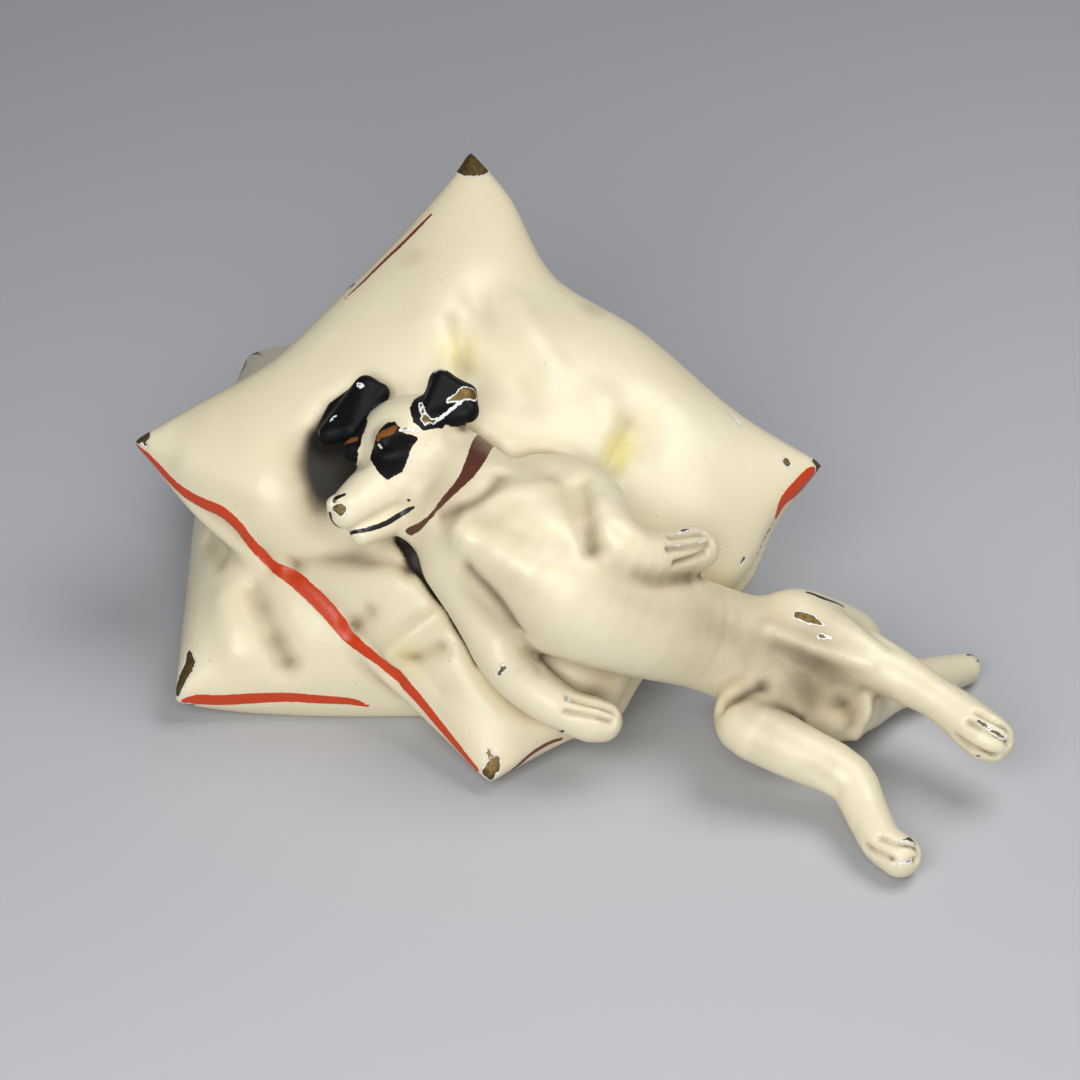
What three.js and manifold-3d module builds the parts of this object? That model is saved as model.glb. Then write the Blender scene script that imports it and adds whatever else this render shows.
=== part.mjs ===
// Bronze terrier figurine: a small dog asleep on its back across two stacked cushions.
// Millimetres. +Z is up, +X runs from the dog's head to its tail, -Y is the side the belly leans to.
// The origin is the middle of the flat underside of the lower cushion.
import * as THREE from 'three';
import { mergeVertices } from 'three/addons/utils/BufferGeometryUtils.js';
import Module from 'manifold-3d';

const wasm = await Module();
wasm.setup();

// Sizes of the dog.

// Trunk, from the collar to the rump: centre of each section and its radius.
const TRUNK = [
  [2.5, -26.7, 39.5, 9.6], [7.2, -34.0, 38.3, 11.2], [14.7, -40.8, 36.5, 12.4],
  [22.2, -45.0, 33.0, 12.0], [31.4, -46.0, 28.0, 10.1], [43.9, -42.8, 20.5, 8.9],
  [56.1, -42.9, 15.0, 8.9], [63.1, -45.0, 12.0, 8.2], [67.6, -47.7, 10.6, 7.0],
];
// Right foreleg: upper arm along the chest, elbow, forearm hanging over the cushion, paw.
const RIGHT_FORELEG = [
  [5.1, -41.4, 34.5, 6.4], [9.5, -45.9, 28.5, 6.0], [12.8, -50.7, 21.5, 4.7],
  [16.4, -53.1, 18.0, 4.1], [22.1, -55.6, 15.0, 3.6], [26.2, -55.9, 13.3, 3.8],
  [28.0, -55.8, 12.8, 3.5],
];
// Left foreleg: shoulder, elbow folded on the belly, forearm lying towards the waist, paw.
const LEFT_FORELEG = [
  [18.0, -29.2, 38.5, 7.2], [23.4, -31.8, 41.5, 5.8], [26.8, -37.2, 43.0, 5.2],
  [29.4, -45.4, 43.0, 4.5], [34.1, -46.6, 40.5, 3.7], [39.4, -42.8, 37.5, 3.5],
  [42.5, -39.0, 35.3, 3.9], [43.8, -38.1, 34.6, 3.5],
];
// Right hind leg: thigh, knee, shank, hock and the paw down on the ground.
const RIGHT_HIND_LEG = [
  [61.1, -45.8, 11.0, 7.6], [55.5, -51.7, 12.5, 7.2], [51.9, -57.5, 14.0, 5.4],
  [58.7, -61.1, 11.5, 4.8], [68.1, -64.5, 8.0, 4.1], [70.7, -70.0, 6.0, 3.5],
  [73.0, -76.2, 4.6, 3.4], [75.7, -79.0, 4.2, 3.5],
];
// Left hind leg: thigh up to the knee, then shank, hock and the raised paw.
const LEFT_THIGH = [[67.7, -38.5, 13.5, 7.6], [63.6, -39.7, 18.0, 6.6], [60.1, -40.2, 20.5, 5.4]];
const LEFT_SHANK = [
  [60.9, -41.6, 21.0, 5.6], [68.9, -46.1, 20.0, 4.7], [77.4, -50.5, 17.5, 4.0],
  [82.6, -53.0, 15.5, 3.4], [86.9, -56.2, 14.0, 3.8], [90.4, -59.8, 13.0, 4.1],
  [91.5, -60.6, 12.8, 3.7],
];
const TAIL = [
  [71.6, -44.3, 7.5, 5.0], [76.7, -39.4, 6.0, 4.0], [83.8, -35.1, 4.6, 3.5],
  [90.1, -31.0, 3.2, 2.7],
];

// Head frame: centre of the skull, the way the muzzle points, and the way the crown points.
const SKULL_CENTRE = [-3.5, -25.8, 45.0];
const MUZZLE_WAY = [-0.683, -0.715, 0.145];
const CROWN_WAY = [-0.349, 0.495, 0.795];

// Head forms in that frame: forward, to the dog's left, up. Balls have a centre and three radii.
const SKULL = [[-0.5, 0, 1.8], [8.8, 7.8, 7.6]];
const CHEEK = [[2.5, 4.0, -3.4], [6.5, 4.0, 4.8]];
const BROW = [[6.2, 4.2, 3.8], [3.2, 2.4, 2.2]];
const NOSE = [[18.2, 0, -2.8], [1.7, 1.7, 1.5]];
// Bars taper from one round end to the other.
const MUZZLE = [[5.5, 0, -2.6, 5.4], [16.6, 0, -4.3, 3.1]];
const JAW = [[3.5, 0, -7.6, 4.3], [15.2, 0, -8.8, 2.0]];
const THROAT = [[-3, 1, -4, 6.5], [4.5, 1.5, -9.5, 3.6]];

// Ears in the head frame: leaves with round edges, each a triangle of corners.
const LEFT_EAR = [
  [[-7.1, 5.6, 9.1], [-2.4, 4.2, 4.9], [-3.3, 5.7, 3.6]],
  [[-7.1, 5.6, 9.1], [-3.3, 5.7, 3.6], [-7.7, 8.5, 3.2]],
  [[-7.1, 5.6, 9.1], [-7.7, 8.5, 3.2], [-9.5, 7.8, 5.8]],
];
const LEFT_EAR_FLAP = [[-6.2, 6.9, 9.8], [-8.4, 9.2, 5.6], [-1.8, 6.2, 5.8]];
const RIGHT_EAR = [
  [[-1.7, -6.5, 12.4], [-2.8, -5.0, 10.6], [3.7, -7.0, 7.0]],
  [[-1.7, -6.5, 12.4], [3.7, -7.0, 7.0], [6.2, -10.2, 7.4]],
];
const RIGHT_EAR_FLAP = [[-1.0, -8.1, 12.2], [2.2, -11.5, 10.9], [5.8, -12.1, 8.1]];
const EAR_HALF_THICKNESS = 1.7;
const FLAP_HALF_THICKNESS = 1.1;

// How softly the forms run into each other.
const BLEND = {
  ear: 1.0, nose: 0.6, jaw: 1.2, brow: 1.8, cheek: 2.0, muzzle: 2.5, neck: 2.5,
  foreleg: 2.0, foldedLeg: 2.4, hindLeg: 3.5, thigh: 4.5, shank: 2.5, tail: 2.5,
};
// Smooth steps between two sections of the trunk, and of a leg.
const TRUNK_STEPS = 4;
const LEG_STEPS = 3;

// Sizes of the cushions.

// Seam of the upper cushion, corner to corner: left, front, right and top corners.
const UPPER_SEAM = {
  leftToFront: [
    [-50.0, -13.0, 38.0], [-38.8, -22.2, 31.5], [-27.8, -28.6, 26.3], [-16.9, -35.5, 20.7],
    [-7.2, -43.3, 14.7], [-0.2, -49.4, 10.0], [9.8, -60.0, 3.0],
  ],
  frontToRight: [
    [9.8, -60.0, 3.0], [21.3, -52.4, 6.2], [30.1, -48.1, 8.2], [34.6, -41.5, 12.1],
    [43.1, -34.7, 15.8], [52.4, -27.1, 20.0], [57.7, -18.3, 25.3], [66.0, -9.4, 30.2],
  ],
  topToRight: [
    [5.9, 34.6, 65.0], [12.8, 27.6, 59.5], [20.2, 15.8, 51.1], [35.1, 8.2, 44.8],
    [52.0, -3.3, 35.7], [66.0, -9.4, 30.2],
  ],
  leftToTop: [
    [-50.0, -13.0, 38.0], [-39.3, -7.3, 41.3], [-27.7, -0.5, 44.7], [-15.2, 11.3, 51.3],
    [-6.0, 20.4, 56.5], [3.3, 30.9, 62.5], [5.9, 34.6, 65.0],
  ],
};
// Seam of the lower cushion: left front, right front, left back and right back corners.
const LOWER_SEAM = {
  leftToFront: [[-43.0, -42.4, 6.0], [-25.6, -41.8, 5.6], [-10.4, -41.8, 5.4], [30.5, -41.0, 6.5]],
  frontToRight: [[30.5, -41.0, 6.5], [35.0, -8.0, 8.0], [42.0, 34.0, 10.0]],
  topToRight: [[-35.2, 43.0, 15.0], [4.0, 37.0, 11.0], [42.0, 34.0, 10.0]],
  leftToTop: [[-43.0, -42.4, 6.0], [-42.4, -19.6, 9.0], [-41.6, 2.0, 12.0], [-35.2, 43.0, 15.0]],
};
// Rise of each face of a cushion above the sheet through its seam.
const UPPER_RISE = { face: 14.0, back: 14.0 };
const LOWER_RISE = { face: 29.0, back: 20.0 };
// The back of the upper cushion sags out past its front seam and its right seam.
const SAG = { front: 4.5, right: 2.5, place: 0.06, reach: 0.09 };
// Half the height of the thick seam, and how round the cushion is between seam and middle.
const SEAM_HALF_HEIGHT = 0.9;
const FULLNESS = 0.5;
const CELLS_PER_SIDE = 22;
// Puffs and valleys of the upper cushion's face: place along and across it, reaches, rise.
const PUFFS = [
  [0.17, 0.66, 0.10, 0.14, 2.4], [0.38, 0.82, 0.08, 0.08, 1.6], [0.26, 0.76, 0.06, 0.06, -2.2],
  [0.38, 0.62, 0.06, 0.06, -1.4], [0.72, 0.90, 0.12, 0.08, 1.8], [0.68, 0.76, 0.05, 0.06, -1.8],
  [0.86, 0.74, 0.10, 0.12, 1.6], [0.16, 0.14, 0.12, 0.10, 2.2], [0.40, 0.13, 0.08, 0.07, 1.6],
  [0.49, 0.17, 0.03, 0.08, -2.5], [0.58, 0.12, 0.07, 0.08, 2.0], [0.67, 0.10, 0.03, 0.06, -1.6],
  [0.80, 0.10, 0.10, 0.07, 1.2],
];
// Depth the face is pressed down around the dog, and how far out that dent reaches.
const DENT_SHARE = 0.45;
const DENT_REACH = 3.0;
// Clear space between the dog and the cushion it lies on.
const BED_GAP = 0.5;

// Mesh sizes: cell of the grid the dog is drawn on, and the number of faces kept.
const DOG_CELL = 1.3;
const DOG_FACES = 5200;
const BED_CELL = 1.7;
const BED_FACES = 2600;
const GRID_LOW = [-24, -86, -1];
const GRID_HIGH = [98, -8, 64];

// Distance to simple forms: negative inside, positive outside.

const dot = (a, b) => a[0] * b[0] + a[1] * b[1] + a[2] * b[2];
const sub = (a, b) => [a[0] - b[0], a[1] - b[1], a[2] - b[2]];
const cross = (a, b) => [
  a[1] * b[2] - a[2] * b[1], a[2] * b[0] - a[0] * b[2], a[0] * b[1] - a[1] * b[0],
];

function blend(a, b, k) {
  const h = Math.max(k - Math.abs(a - b), 0) / k;
  return Math.min(a, b) - h * h * k / 4;
}

function ballDistance(p, [c, r]) {
  const x = (p[0] - c[0]) / r[0];
  const y = (p[1] - c[1]) / r[1];
  const z = (p[2] - c[2]) / r[2];
  const scaled = Math.hypot(x, y, z);
  const slope = Math.hypot(x / r[0], y / r[1], z / r[2]);
  return slope > 0 ? scaled * (scaled - 1) / slope : -Math.min(...r);
}

// A bar whose round ends may have different radii; the fixed parts are worked out once.
function makeBar(a, b) {
  const axis = sub(b, a);
  const length2 = dot(axis, axis);
  const taper = a[3] - b[3];
  return { a, b, axis, length2, taper, side2: length2 - taper * taper };
}

function barDistance(p, bar) {
  const { a, b, axis, length2, taper, side2 } = bar;
  const x = p[0] - a[0];
  const y = p[1] - a[1];
  const z = p[2] - a[2];
  const along = x * axis[0] + y * axis[1] + z * axis[2];
  const past = along - length2;
  const ex = x * length2 - axis[0] * along;
  const ey = y * length2 - axis[1] * along;
  const ez = z * length2 - axis[2] * along;
  const off2 = ex * ex + ey * ey + ez * ez;
  const along2 = along * along * length2;
  const past2 = past * past * length2;
  const k = Math.sign(taper) * taper * taper * off2;
  if (Math.sign(past) * side2 * past2 > k) {
    return Math.sqrt(off2 + past2) / length2 - b[3];
  }
  if (Math.sign(along) * side2 * along2 < k) {
    return Math.sqrt(off2 + along2) / length2 - a[3];
  }
  return (Math.sqrt(off2 * side2 / length2) + along * taper) / length2 - a[3];
}

function edgeDistance2(q, e) {
  const t = THREE.MathUtils.clamp(dot(q, e) / dot(e, e), 0, 1);
  const d = [q[0] - e[0] * t, q[1] - e[1] * t, q[2] - e[2] * t];
  return dot(d, d);
}

// A flat leaf with round edges: distance to its triangle less half the thickness.
function leafDistance(p, [a, b, c], halfThickness) {
  const edges = [sub(b, a), sub(c, b), sub(a, c)];
  const from = [sub(p, a), sub(p, b), sub(p, c)];
  const normal = cross(edges[0], edges[2]);
  const inside = edges.every((e, i) => dot(cross(e, normal), from[i]) >= 0);
  const away2 = inside
    ? dot(from[0], normal) ** 2 / dot(normal, normal)
    : Math.min(...edges.map((e, i) => edgeDistance2(from[i], e)));
  return Math.sqrt(away2) - halfThickness;
}

// Sections joined by a smooth curve, cut into short bars.
function makeLimb(sections, steps) {
  const curve = new THREE.CatmullRomCurve3(
    sections.map(([x, y, z]) => new THREE.Vector3(x, y, z)), false, 'centripetal',
  );
  const spans = sections.length - 1;
  const stops = [];
  for (let i = 0; i <= spans * steps; i += 1) {
    const place = i / steps;
    const from = Math.min(Math.floor(place), spans - 1);
    const radius = THREE.MathUtils.lerp(sections[from][3], sections[from + 1][3], place - from);
    stops.push([...curve.getPoint(place / spans).toArray(), radius]);
  }
  return stops.slice(1).map((stop, i) => makeBar(stops[i], stop));
}

function limbDistance(p, limb) {
  let d = Infinity;
  for (const bar of limb) d = Math.min(d, barDistance(p, bar));
  return d;
}

// The dog.

const LEFT_WAY = cross(CROWN_WAY, MUZZLE_WAY);
const mirrored = ([c, r]) => [[c[0], -c[1], c[2]], r];
const muzzleBar = makeBar(...MUZZLE);
const jawBar = makeBar(...JAW);
const throatBar = makeBar(...THROAT);
const trunk = makeLimb(TRUNK, TRUNK_STEPS);
const legs = [
  [makeLimb(RIGHT_FORELEG, LEG_STEPS), BLEND.foreleg],
  [makeLimb(LEFT_FORELEG, LEG_STEPS), BLEND.foldedLeg],
  [makeLimb(RIGHT_HIND_LEG, LEG_STEPS), BLEND.hindLeg],
  [makeLimb(LEFT_THIGH, LEG_STEPS), BLEND.thigh],
  [makeLimb(LEFT_SHANK, LEG_STEPS), BLEND.shank],
  [makeLimb(TAIL, LEG_STEPS), BLEND.tail],
];

function toHeadFrame(p) {
  const d = sub(p, SKULL_CENTRE);
  return [dot(d, MUZZLE_WAY), dot(d, LEFT_WAY), dot(d, CROWN_WAY)];
}

function earDistance(q, ear, flap) {
  const over = leafDistance(q, flap, FLAP_HALF_THICKNESS);
  return ear.reduce(
    (d, leaf) => blend(d, leafDistance(q, leaf, EAR_HALF_THICKNESS), BLEND.ear), over,
  );
}

function headDistance(q) {
  let d = ballDistance(q, SKULL);
  d = blend(d, ballDistance(q, CHEEK), BLEND.cheek);
  d = blend(d, ballDistance(q, mirrored(CHEEK)), BLEND.cheek);
  d = blend(d, barDistance(q, muzzleBar), BLEND.muzzle);
  d = blend(d, barDistance(q, jawBar), BLEND.jaw);
  d = blend(d, ballDistance(q, NOSE), BLEND.nose);
  d = blend(d, ballDistance(q, BROW), BLEND.brow);
  d = blend(d, ballDistance(q, mirrored(BROW)), BLEND.brow);
  return blend(d, barDistance(q, throatBar), BLEND.cheek);
}

function dogDistance(p) {
  const q = toHeadFrame(p);
  let d = blend(limbDistance(p, trunk), headDistance(q), BLEND.neck);
  d = blend(d, earDistance(q, LEFT_EAR, LEFT_EAR_FLAP), BLEND.ear);
  d = blend(d, earDistance(q, RIGHT_EAR, RIGHT_EAR_FLAP), BLEND.ear);
  for (const [limb, softness] of legs) d = blend(d, limbDistance(p, limb), softness);
  return d;
}

// Drawing a distance as faces.

// The six blocks a grid cell is split into, by cell corner; corner bits are x, y, z.
const CELL_BLOCKS = [
  [0, 1, 3, 7], [0, 3, 2, 7], [0, 2, 6, 7], [0, 6, 4, 7], [0, 4, 5, 7], [0, 5, 1, 7],
];

// Cells this many steps from the surface are always measured, and no cut lies nearer a grid point.
const CLOSE_CELLS = 3;
const NEAR_END = 0.05;

function sampleGrid(distance, cell) {
  const size = GRID_LOW.map((low, i) => Math.ceil((GRID_HIGH[i] - low) / cell) + 1);
  const values = new Float32Array(size[0] * size[1] * size[2]);
  let at = 0;
  for (let k = 0; k < size[2]; k += 1) {
    for (let j = 0; j < size[1]; j += 1) {
      let skip = 0;
      let last = 0;
      for (let i = 0; i < size[0]; i += 1, at += 1) {
        if (skip > 0) {
          skip -= 1;
          values[at] = last;
          continue;
        }
        const p = [GRID_LOW[0] + i * cell, GRID_LOW[1] + j * cell, GRID_LOW[2] + k * cell];
        const d = distance(p);
        values[at] = d === 0 ? Number.EPSILON : d;
        skip = Math.max(0, Math.floor(Math.abs(d) / cell) - CLOSE_CELLS);
        last = Math.sign(d) * cell;
      }
    }
  }
  return { size, values };
}

// Faces of the surface where the distance is zero, one closed skin.
function drawSurface(distance, cell) {
  const { size, values } = sampleGrid(distance, cell);
  const row = size[0];
  const sheet = size[0] * size[1];
  const step = [...Array(8).keys()].map((b) => (b & 1) + ((b >> 1) & 1) * row + (b >> 2) * sheet);
  const points = [];
  const faces = [];
  const known = new Map();
  const place = (at) => [at % row, Math.floor(at / row) % size[1], Math.floor(at / sheet)];
  const cut = (a, b) => {
    const key = Math.min(a, b) * values.length + Math.max(a, b);
    if (known.has(key)) return known.get(key);
    const t = THREE.MathUtils.clamp(values[a] / (values[a] - values[b]), NEAR_END, 1 - NEAR_END);
    const from = place(a);
    const to = place(b);
    points.push(GRID_LOW.map((low, i) => low + cell * THREE.MathUtils.lerp(from[i], to[i], t)));
    known.set(key, points.length - 1);
    return points.length - 1;
  };
  const volume = (...corners) => {
    const [o, x, y, z] = corners.map(place);
    return dot(sub(x, o), cross(sub(y, o), sub(z, o)));
  };
  const splitBlock = (c) => {
    const n = c.filter((at) => values[at] < 0);
    const o = c.filter((at) => values[at] >= 0);
    if (!n.length || !o.length) return;
    let ring;
    let turn;
    if (n.length === 1) {
      ring = o.map((at) => cut(n[0], at));
      turn = volume(n[0], o[0], o[1], o[2]);
    } else if (o.length === 1) {
      ring = n.map((at) => cut(at, o[0]));
      turn = -volume(o[0], n[0], n[1], n[2]);
    } else {
      ring = [cut(n[0], o[0]), cut(n[0], o[1]), cut(n[1], o[1]), cut(n[1], o[0])];
      turn = volume(n[0], n[1], o[0], o[1]);
    }
    if (turn < 0) ring.reverse();
    for (let i = 2; i < ring.length; i += 1) faces.push([ring[0], ring[i - 1], ring[i]]);
  };
  for (let k = 0; k + 1 < size[2]; k += 1) {
    for (let j = 0; j + 1 < size[1]; j += 1) {
      for (let i = 0; i + 1 < size[0]; i += 1) {
        const base = i + j * row + k * sheet;
        const corners = step.map((s) => base + s);
        const below = corners.filter((at) => values[at] < 0).length;
        if (below === 0 || below === 8) continue;
        for (const block of CELL_BLOCKS) splitBlock(block.map((b) => corners[b]));
      }
    }
  }
  return { points, faces };
}

// Thinning: short edges that matter least are closed up until few faces are left.

const NUDGE = 1e-3;
const PASS_SHARE = 0.25;
// A face may not turn past this cosine when an edge is closed.
const FACE_TURN = 0.2;

function addPlane(sum, normal, offset, weight) {
  const [x, y, z] = normal;
  const terms = [
    x * x, x * y, x * z, x * offset, y * y, y * z, y * offset, z * z, z * offset, offset * offset,
  ];
  terms.forEach((term, i) => { sum[i] += term * weight; });
}

function planeError(q, [x, y, z]) {
  return q[0] * x * x + 2 * q[1] * x * y + 2 * q[2] * x * z + 2 * q[3] * x
    + q[4] * y * y + 2 * q[5] * y * z + 2 * q[6] * y + q[7] * z * z + 2 * q[8] * z + q[9];
}

// The point that keeps closest to all the planes, held a little towards the middle of the edge.
function bestPoint(q, middle) {
  const pull = NUDGE * (q[0] + q[4] + q[7]) + Number.EPSILON;
  const matrix = new THREE.Matrix3().set(
    q[0] + pull, q[1], q[2], q[1], q[4] + pull, q[5], q[2], q[5], q[7] + pull,
  );
  const right = new THREE.Vector3(
    pull * middle[0] - q[3], pull * middle[1] - q[6], pull * middle[2] - q[8],
  );
  return right.applyMatrix3(matrix.invert()).toArray();
}

function wouldFold(faces, points, moving, point) {
  return faces.some((face) => {
    const was = face.map((at) => points[at]);
    const now = face.map((at) => (moving.includes(at) ? point : points[at]));
    const before = cross(sub(was[1], was[0]), sub(was[2], was[0]));
    const after = cross(sub(now[1], now[0]), sub(now[2], now[0]));
    const size = Math.hypot(...before) * Math.hypot(...after);
    return dot(before, after) <= FACE_TURN * size;
  });
}

function listEdges(faces, points, sums) {
  const edges = [];
  for (const face of faces) {
    face.forEach((a, i) => {
      const b = face[(i + 1) % face.length];
      if (a > b) return;
      const q = sums[a].map((v, k) => v + sums[b][k]);
      const point = bestPoint(q, points[a].map((v, k) => (v + points[b][k]) / 2));
      edges.push({ a, b, q, point, error: planeError(q, point) });
    });
  }
  return edges.sort((m, n) => m.error - n.error);
}

function thin({ points, faces }, wanted) {
  let kept = faces;
  const sums = points.map(() => new Float64Array(10));
  for (const [a, b, c] of faces) {
    const normal = cross(sub(points[b], points[a]), sub(points[c], points[a]));
    const area = Math.hypot(...normal) || Number.EPSILON;
    const unit = normal.map((v) => v / area);
    for (const at of [a, b, c]) addPlane(sums[at], unit, -dot(unit, points[a]), area);
  }
  while (kept.length > wanted) {
    const around = points.map(() => []);
    kept.forEach((face) => face.forEach((at) => around[at].push(face)));
    const edges = listEdges(kept, points, sums);
    const used = new Set();
    const gone = new Set();
    const moved = new Map();
    for (const { a, b, q, point } of edges.slice(0, Math.ceil(edges.length * PASS_SHARE))) {
      if (kept.length - gone.size <= wanted) break;
      const near = new Set([...around[a], ...around[b]].flat());
      if ([...near].some((at) => used.has(at))) continue;
      const ofB = new Set(around[b].flat());
      const shared = [...new Set(around[a].flat())].filter((at) => ofB.has(at));
      if (shared.length !== 4) continue;
      const staying = [...around[a], ...around[b]].filter((f) => !(f.includes(a) && f.includes(b)));
      if (wouldFold(staying, points, [a, b], point)) continue;
      points[a] = point;
      sums[a] = q;
      moved.set(b, a);
      near.forEach((at) => used.add(at));
      around[a].filter((f) => f.includes(b)).forEach((f) => gone.add(f));
    }
    if (!moved.size) break;
    kept = kept.filter((face) => !gone.has(face)).map((face) => face.map((at) => moved.get(at) ?? at));
  }
  return { points, faces: kept };
}

// Solids.

function solidFrom({ points, faces }) {
  const corners = faces.flat().flatMap((at) => points[at]);
  const loose = new THREE.BufferGeometry();
  loose.setAttribute('position', new THREE.Float32BufferAttribute(corners, 3));
  const merged = mergeVertices(loose);
  return new wasm.Manifold(new wasm.Mesh({
    numProp: 3,
    vertProperties: new Float32Array(merged.attributes.position.array),
    triVerts: new Uint32Array(merged.index.array),
  }));
}

function meshFrom(name, solid, material) {
  const { vertProperties, triVerts } = solid.getMesh();
  const geometry = new THREE.BufferGeometry();
  geometry.setAttribute('position', new THREE.Float32BufferAttribute(vertProperties, 3));
  geometry.setIndex([...triVerts]);
  geometry.computeVertexNormals();
  const mesh = new THREE.Mesh(geometry, material);
  mesh.name = name;
  return mesh;
}

// The cushions.

function seamCurve(points) {
  return new THREE.CatmullRomCurve3(
    points.map((p) => new THREE.Vector3(...p)), false, 'centripetal',
  );
}

// The sheet through a four-sided seam; u runs along the front seam, v from front to back.
function makeSheet(seam) {
  const front = seamCurve(seam.leftToFront);
  const back = seamCurve(seam.topToRight);
  const left = seamCurve(seam.leftToTop);
  const right = seamCurve(seam.frontToRight);
  const ends = [front.getPointAt(0), front.getPointAt(1), back.getPointAt(0), back.getPointAt(1)];
  return (u, v) => {
    const across = front.getPointAt(u).lerp(back.getPointAt(u), v);
    const along = left.getPointAt(v).lerp(right.getPointAt(v), u);
    const plain = ends[0].clone().lerp(ends[1], u).lerp(ends[2].clone().lerp(ends[3], u), v);
    return across.add(along).sub(plain);
  };
}

function swell(u, v) {
  return (4 * u * (1 - u) * 4 * v * (1 - v)) ** FULLNESS;
}

function puffRise(u, v) {
  return PUFFS.reduce((sum, [pu, pv, reachU, reachV, rise]) => (
    sum + rise * Math.exp(-(((u - pu) / reachU) ** 2) - ((v - pv) / reachV) ** 2)
  ), 0);
}

// How far the back hangs out at a share of the way in from a seam.
function sagShape(t, other) {
  return Math.exp(-(((t - SAG.place) / SAG.reach) ** 2)) * Math.sin(Math.PI * other);
}

// A cushion: two swollen faces on one seam, joined by the thick seam all round.
function makeCushion(seam, rise, extraRise, sag) {
  const sheet = makeSheet(seam);
  const up = sheet(1, 0).sub(sheet(0, 1)).cross(sheet(1, 1).sub(sheet(0, 0))).normalize();
  const inward = sheet(0.5, 1).sub(sheet(0.5, 0)).normalize();
  const rightward = sheet(1, 0.5).sub(sheet(0, 0.5)).normalize();
  const side = CELLS_PER_SIDE + 1;
  const share = (i) => (1 - Math.cos(Math.PI * i / CELLS_PER_SIDE)) / 2;
  const points = [];
  for (const way of [1, -1]) {
    for (let n = 0; n < side * side; n += 1) {
      const u = share(n % side);
      const v = share(Math.floor(n / side));
      const height = way > 0 ? rise.face + extraRise(u, v) : rise.back;
      const lift = way * (SEAM_HALF_HEIGHT + height * swell(u, v));
      const p = sheet(u, v).addScaledVector(up, lift);
      if (way < 0) {
        p.addScaledVector(inward, -sag * SAG.front * sagShape(v, u));
        p.addScaledVector(rightward, sag * SAG.right * sagShape(1 - u, v));
      }
      points.push(p.toArray());
    }
  }
  const faces = [];
  const back = side * side;
  const quad = (a, b, c, d) => faces.push([a, b, c], [a, c, d]);
  for (let j = 0; j < CELLS_PER_SIDE; j += 1) {
    for (let i = 0; i < CELLS_PER_SIDE; i += 1) {
      const a = j * side + i;
      quad(a, a + 1, a + side + 1, a + side);
      quad(back + a, back + a + side, back + a + side + 1, back + a + 1);
    }
  }
  for (let i = 0; i < CELLS_PER_SIDE; i += 1) {
    const last = back - side;
    quad(back + i, back + i + 1, i + 1, i);
    quad(last + i, last + i + 1, back + last + i + 1, back + last + i);
    const j = i * side;
    const k = j + CELLS_PER_SIDE;
    quad(j, j + side, back + j + side, back + j);
    quad(back + k, back + k + side, k + side, k);
  }
  return { points, faces, up: up.toArray() };
}

// The face is pressed down around the dog before its bed is cut out.
function pressDown(cushion) {
  for (const p of cushion.points) {
    const depth = DENT_SHARE * Math.max(0, DENT_REACH - dogDistance(p));
    cushion.up.forEach((v, i) => { p[i] -= v * depth; });
  }
}

// Nothing reaches below the ground: the underside is pressed flat on it.
function pressFlat(cushion) {
  for (const p of cushion.points) p[2] = Math.max(p[2], 0);
}

function buildCushions() {
  const upper = makeCushion(UPPER_SEAM, UPPER_RISE, puffRise, 1);
  const lower = makeCushion(LOWER_SEAM, LOWER_RISE, () => 0, 0);
  pressDown(upper);
  pressFlat(upper);
  pressFlat(lower);
  const bed = solidFrom(thin(drawSurface((p) => dogDistance(p) - BED_GAP, BED_CELL), BED_FACES));
  return solidFrom(upper).add(solidFrom(lower)).subtract(bed);
}

// The object.

const CREAM_PAINT = { color: 0xe0d8c2, roughness: 0.35, metalness: 0 };
const CUSHION_PAINT = { color: 0xddd5bd, roughness: 0.35, metalness: 0 };

const figurine = new THREE.Group();
figurine.name = 'bronze_terrier_figurine';
const dogSolid = solidFrom(thin(drawSurface(dogDistance, DOG_CELL), DOG_FACES));
figurine.add(
  meshFrom('terrier', dogSolid, new THREE.MeshStandardMaterial(CREAM_PAINT)),
  meshFrom('cushions', buildCushions(), new THREE.MeshStandardMaterial(CUSHION_PAINT)),
);

export default figurine;
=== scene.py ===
# Painted bronze terrier asleep on two cast cushions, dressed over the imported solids.
# Forms are given in millimetres in the solids' own frame, and marks in pixels of the photo.
# Objects are made in metres.
import math
import bmesh
import bpy
import numpy as np
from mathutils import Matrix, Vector
from mathutils.bvhtree import BVHTree


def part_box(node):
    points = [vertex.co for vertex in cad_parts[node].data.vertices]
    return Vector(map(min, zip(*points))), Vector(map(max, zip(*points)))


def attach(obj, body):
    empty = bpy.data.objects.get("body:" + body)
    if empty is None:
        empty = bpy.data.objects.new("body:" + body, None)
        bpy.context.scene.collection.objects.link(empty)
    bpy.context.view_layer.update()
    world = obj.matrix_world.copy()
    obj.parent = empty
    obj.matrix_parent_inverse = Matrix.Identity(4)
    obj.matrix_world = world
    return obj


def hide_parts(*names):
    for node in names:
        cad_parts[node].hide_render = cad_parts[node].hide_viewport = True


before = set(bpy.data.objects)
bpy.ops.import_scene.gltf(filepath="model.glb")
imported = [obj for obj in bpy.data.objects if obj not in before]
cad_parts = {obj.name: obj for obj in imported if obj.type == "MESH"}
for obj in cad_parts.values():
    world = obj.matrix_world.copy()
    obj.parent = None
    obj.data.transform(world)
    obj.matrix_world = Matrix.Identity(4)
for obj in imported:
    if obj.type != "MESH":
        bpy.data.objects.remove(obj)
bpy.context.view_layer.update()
MM = 0.001

# The photo's camera looks down on the object from the front. Marks are given where the photo shows
# them, as pixels from its top left corner, and are laid on the solid that is seen there.
PHOTO_PIXELS = 1080
FOCAL_PIXELS = 4123
ELEVATION = math.radians(38)
DISTANCE = 700.0
MIDDLE = np.array((18.0, -17.0, 20.0))
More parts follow.
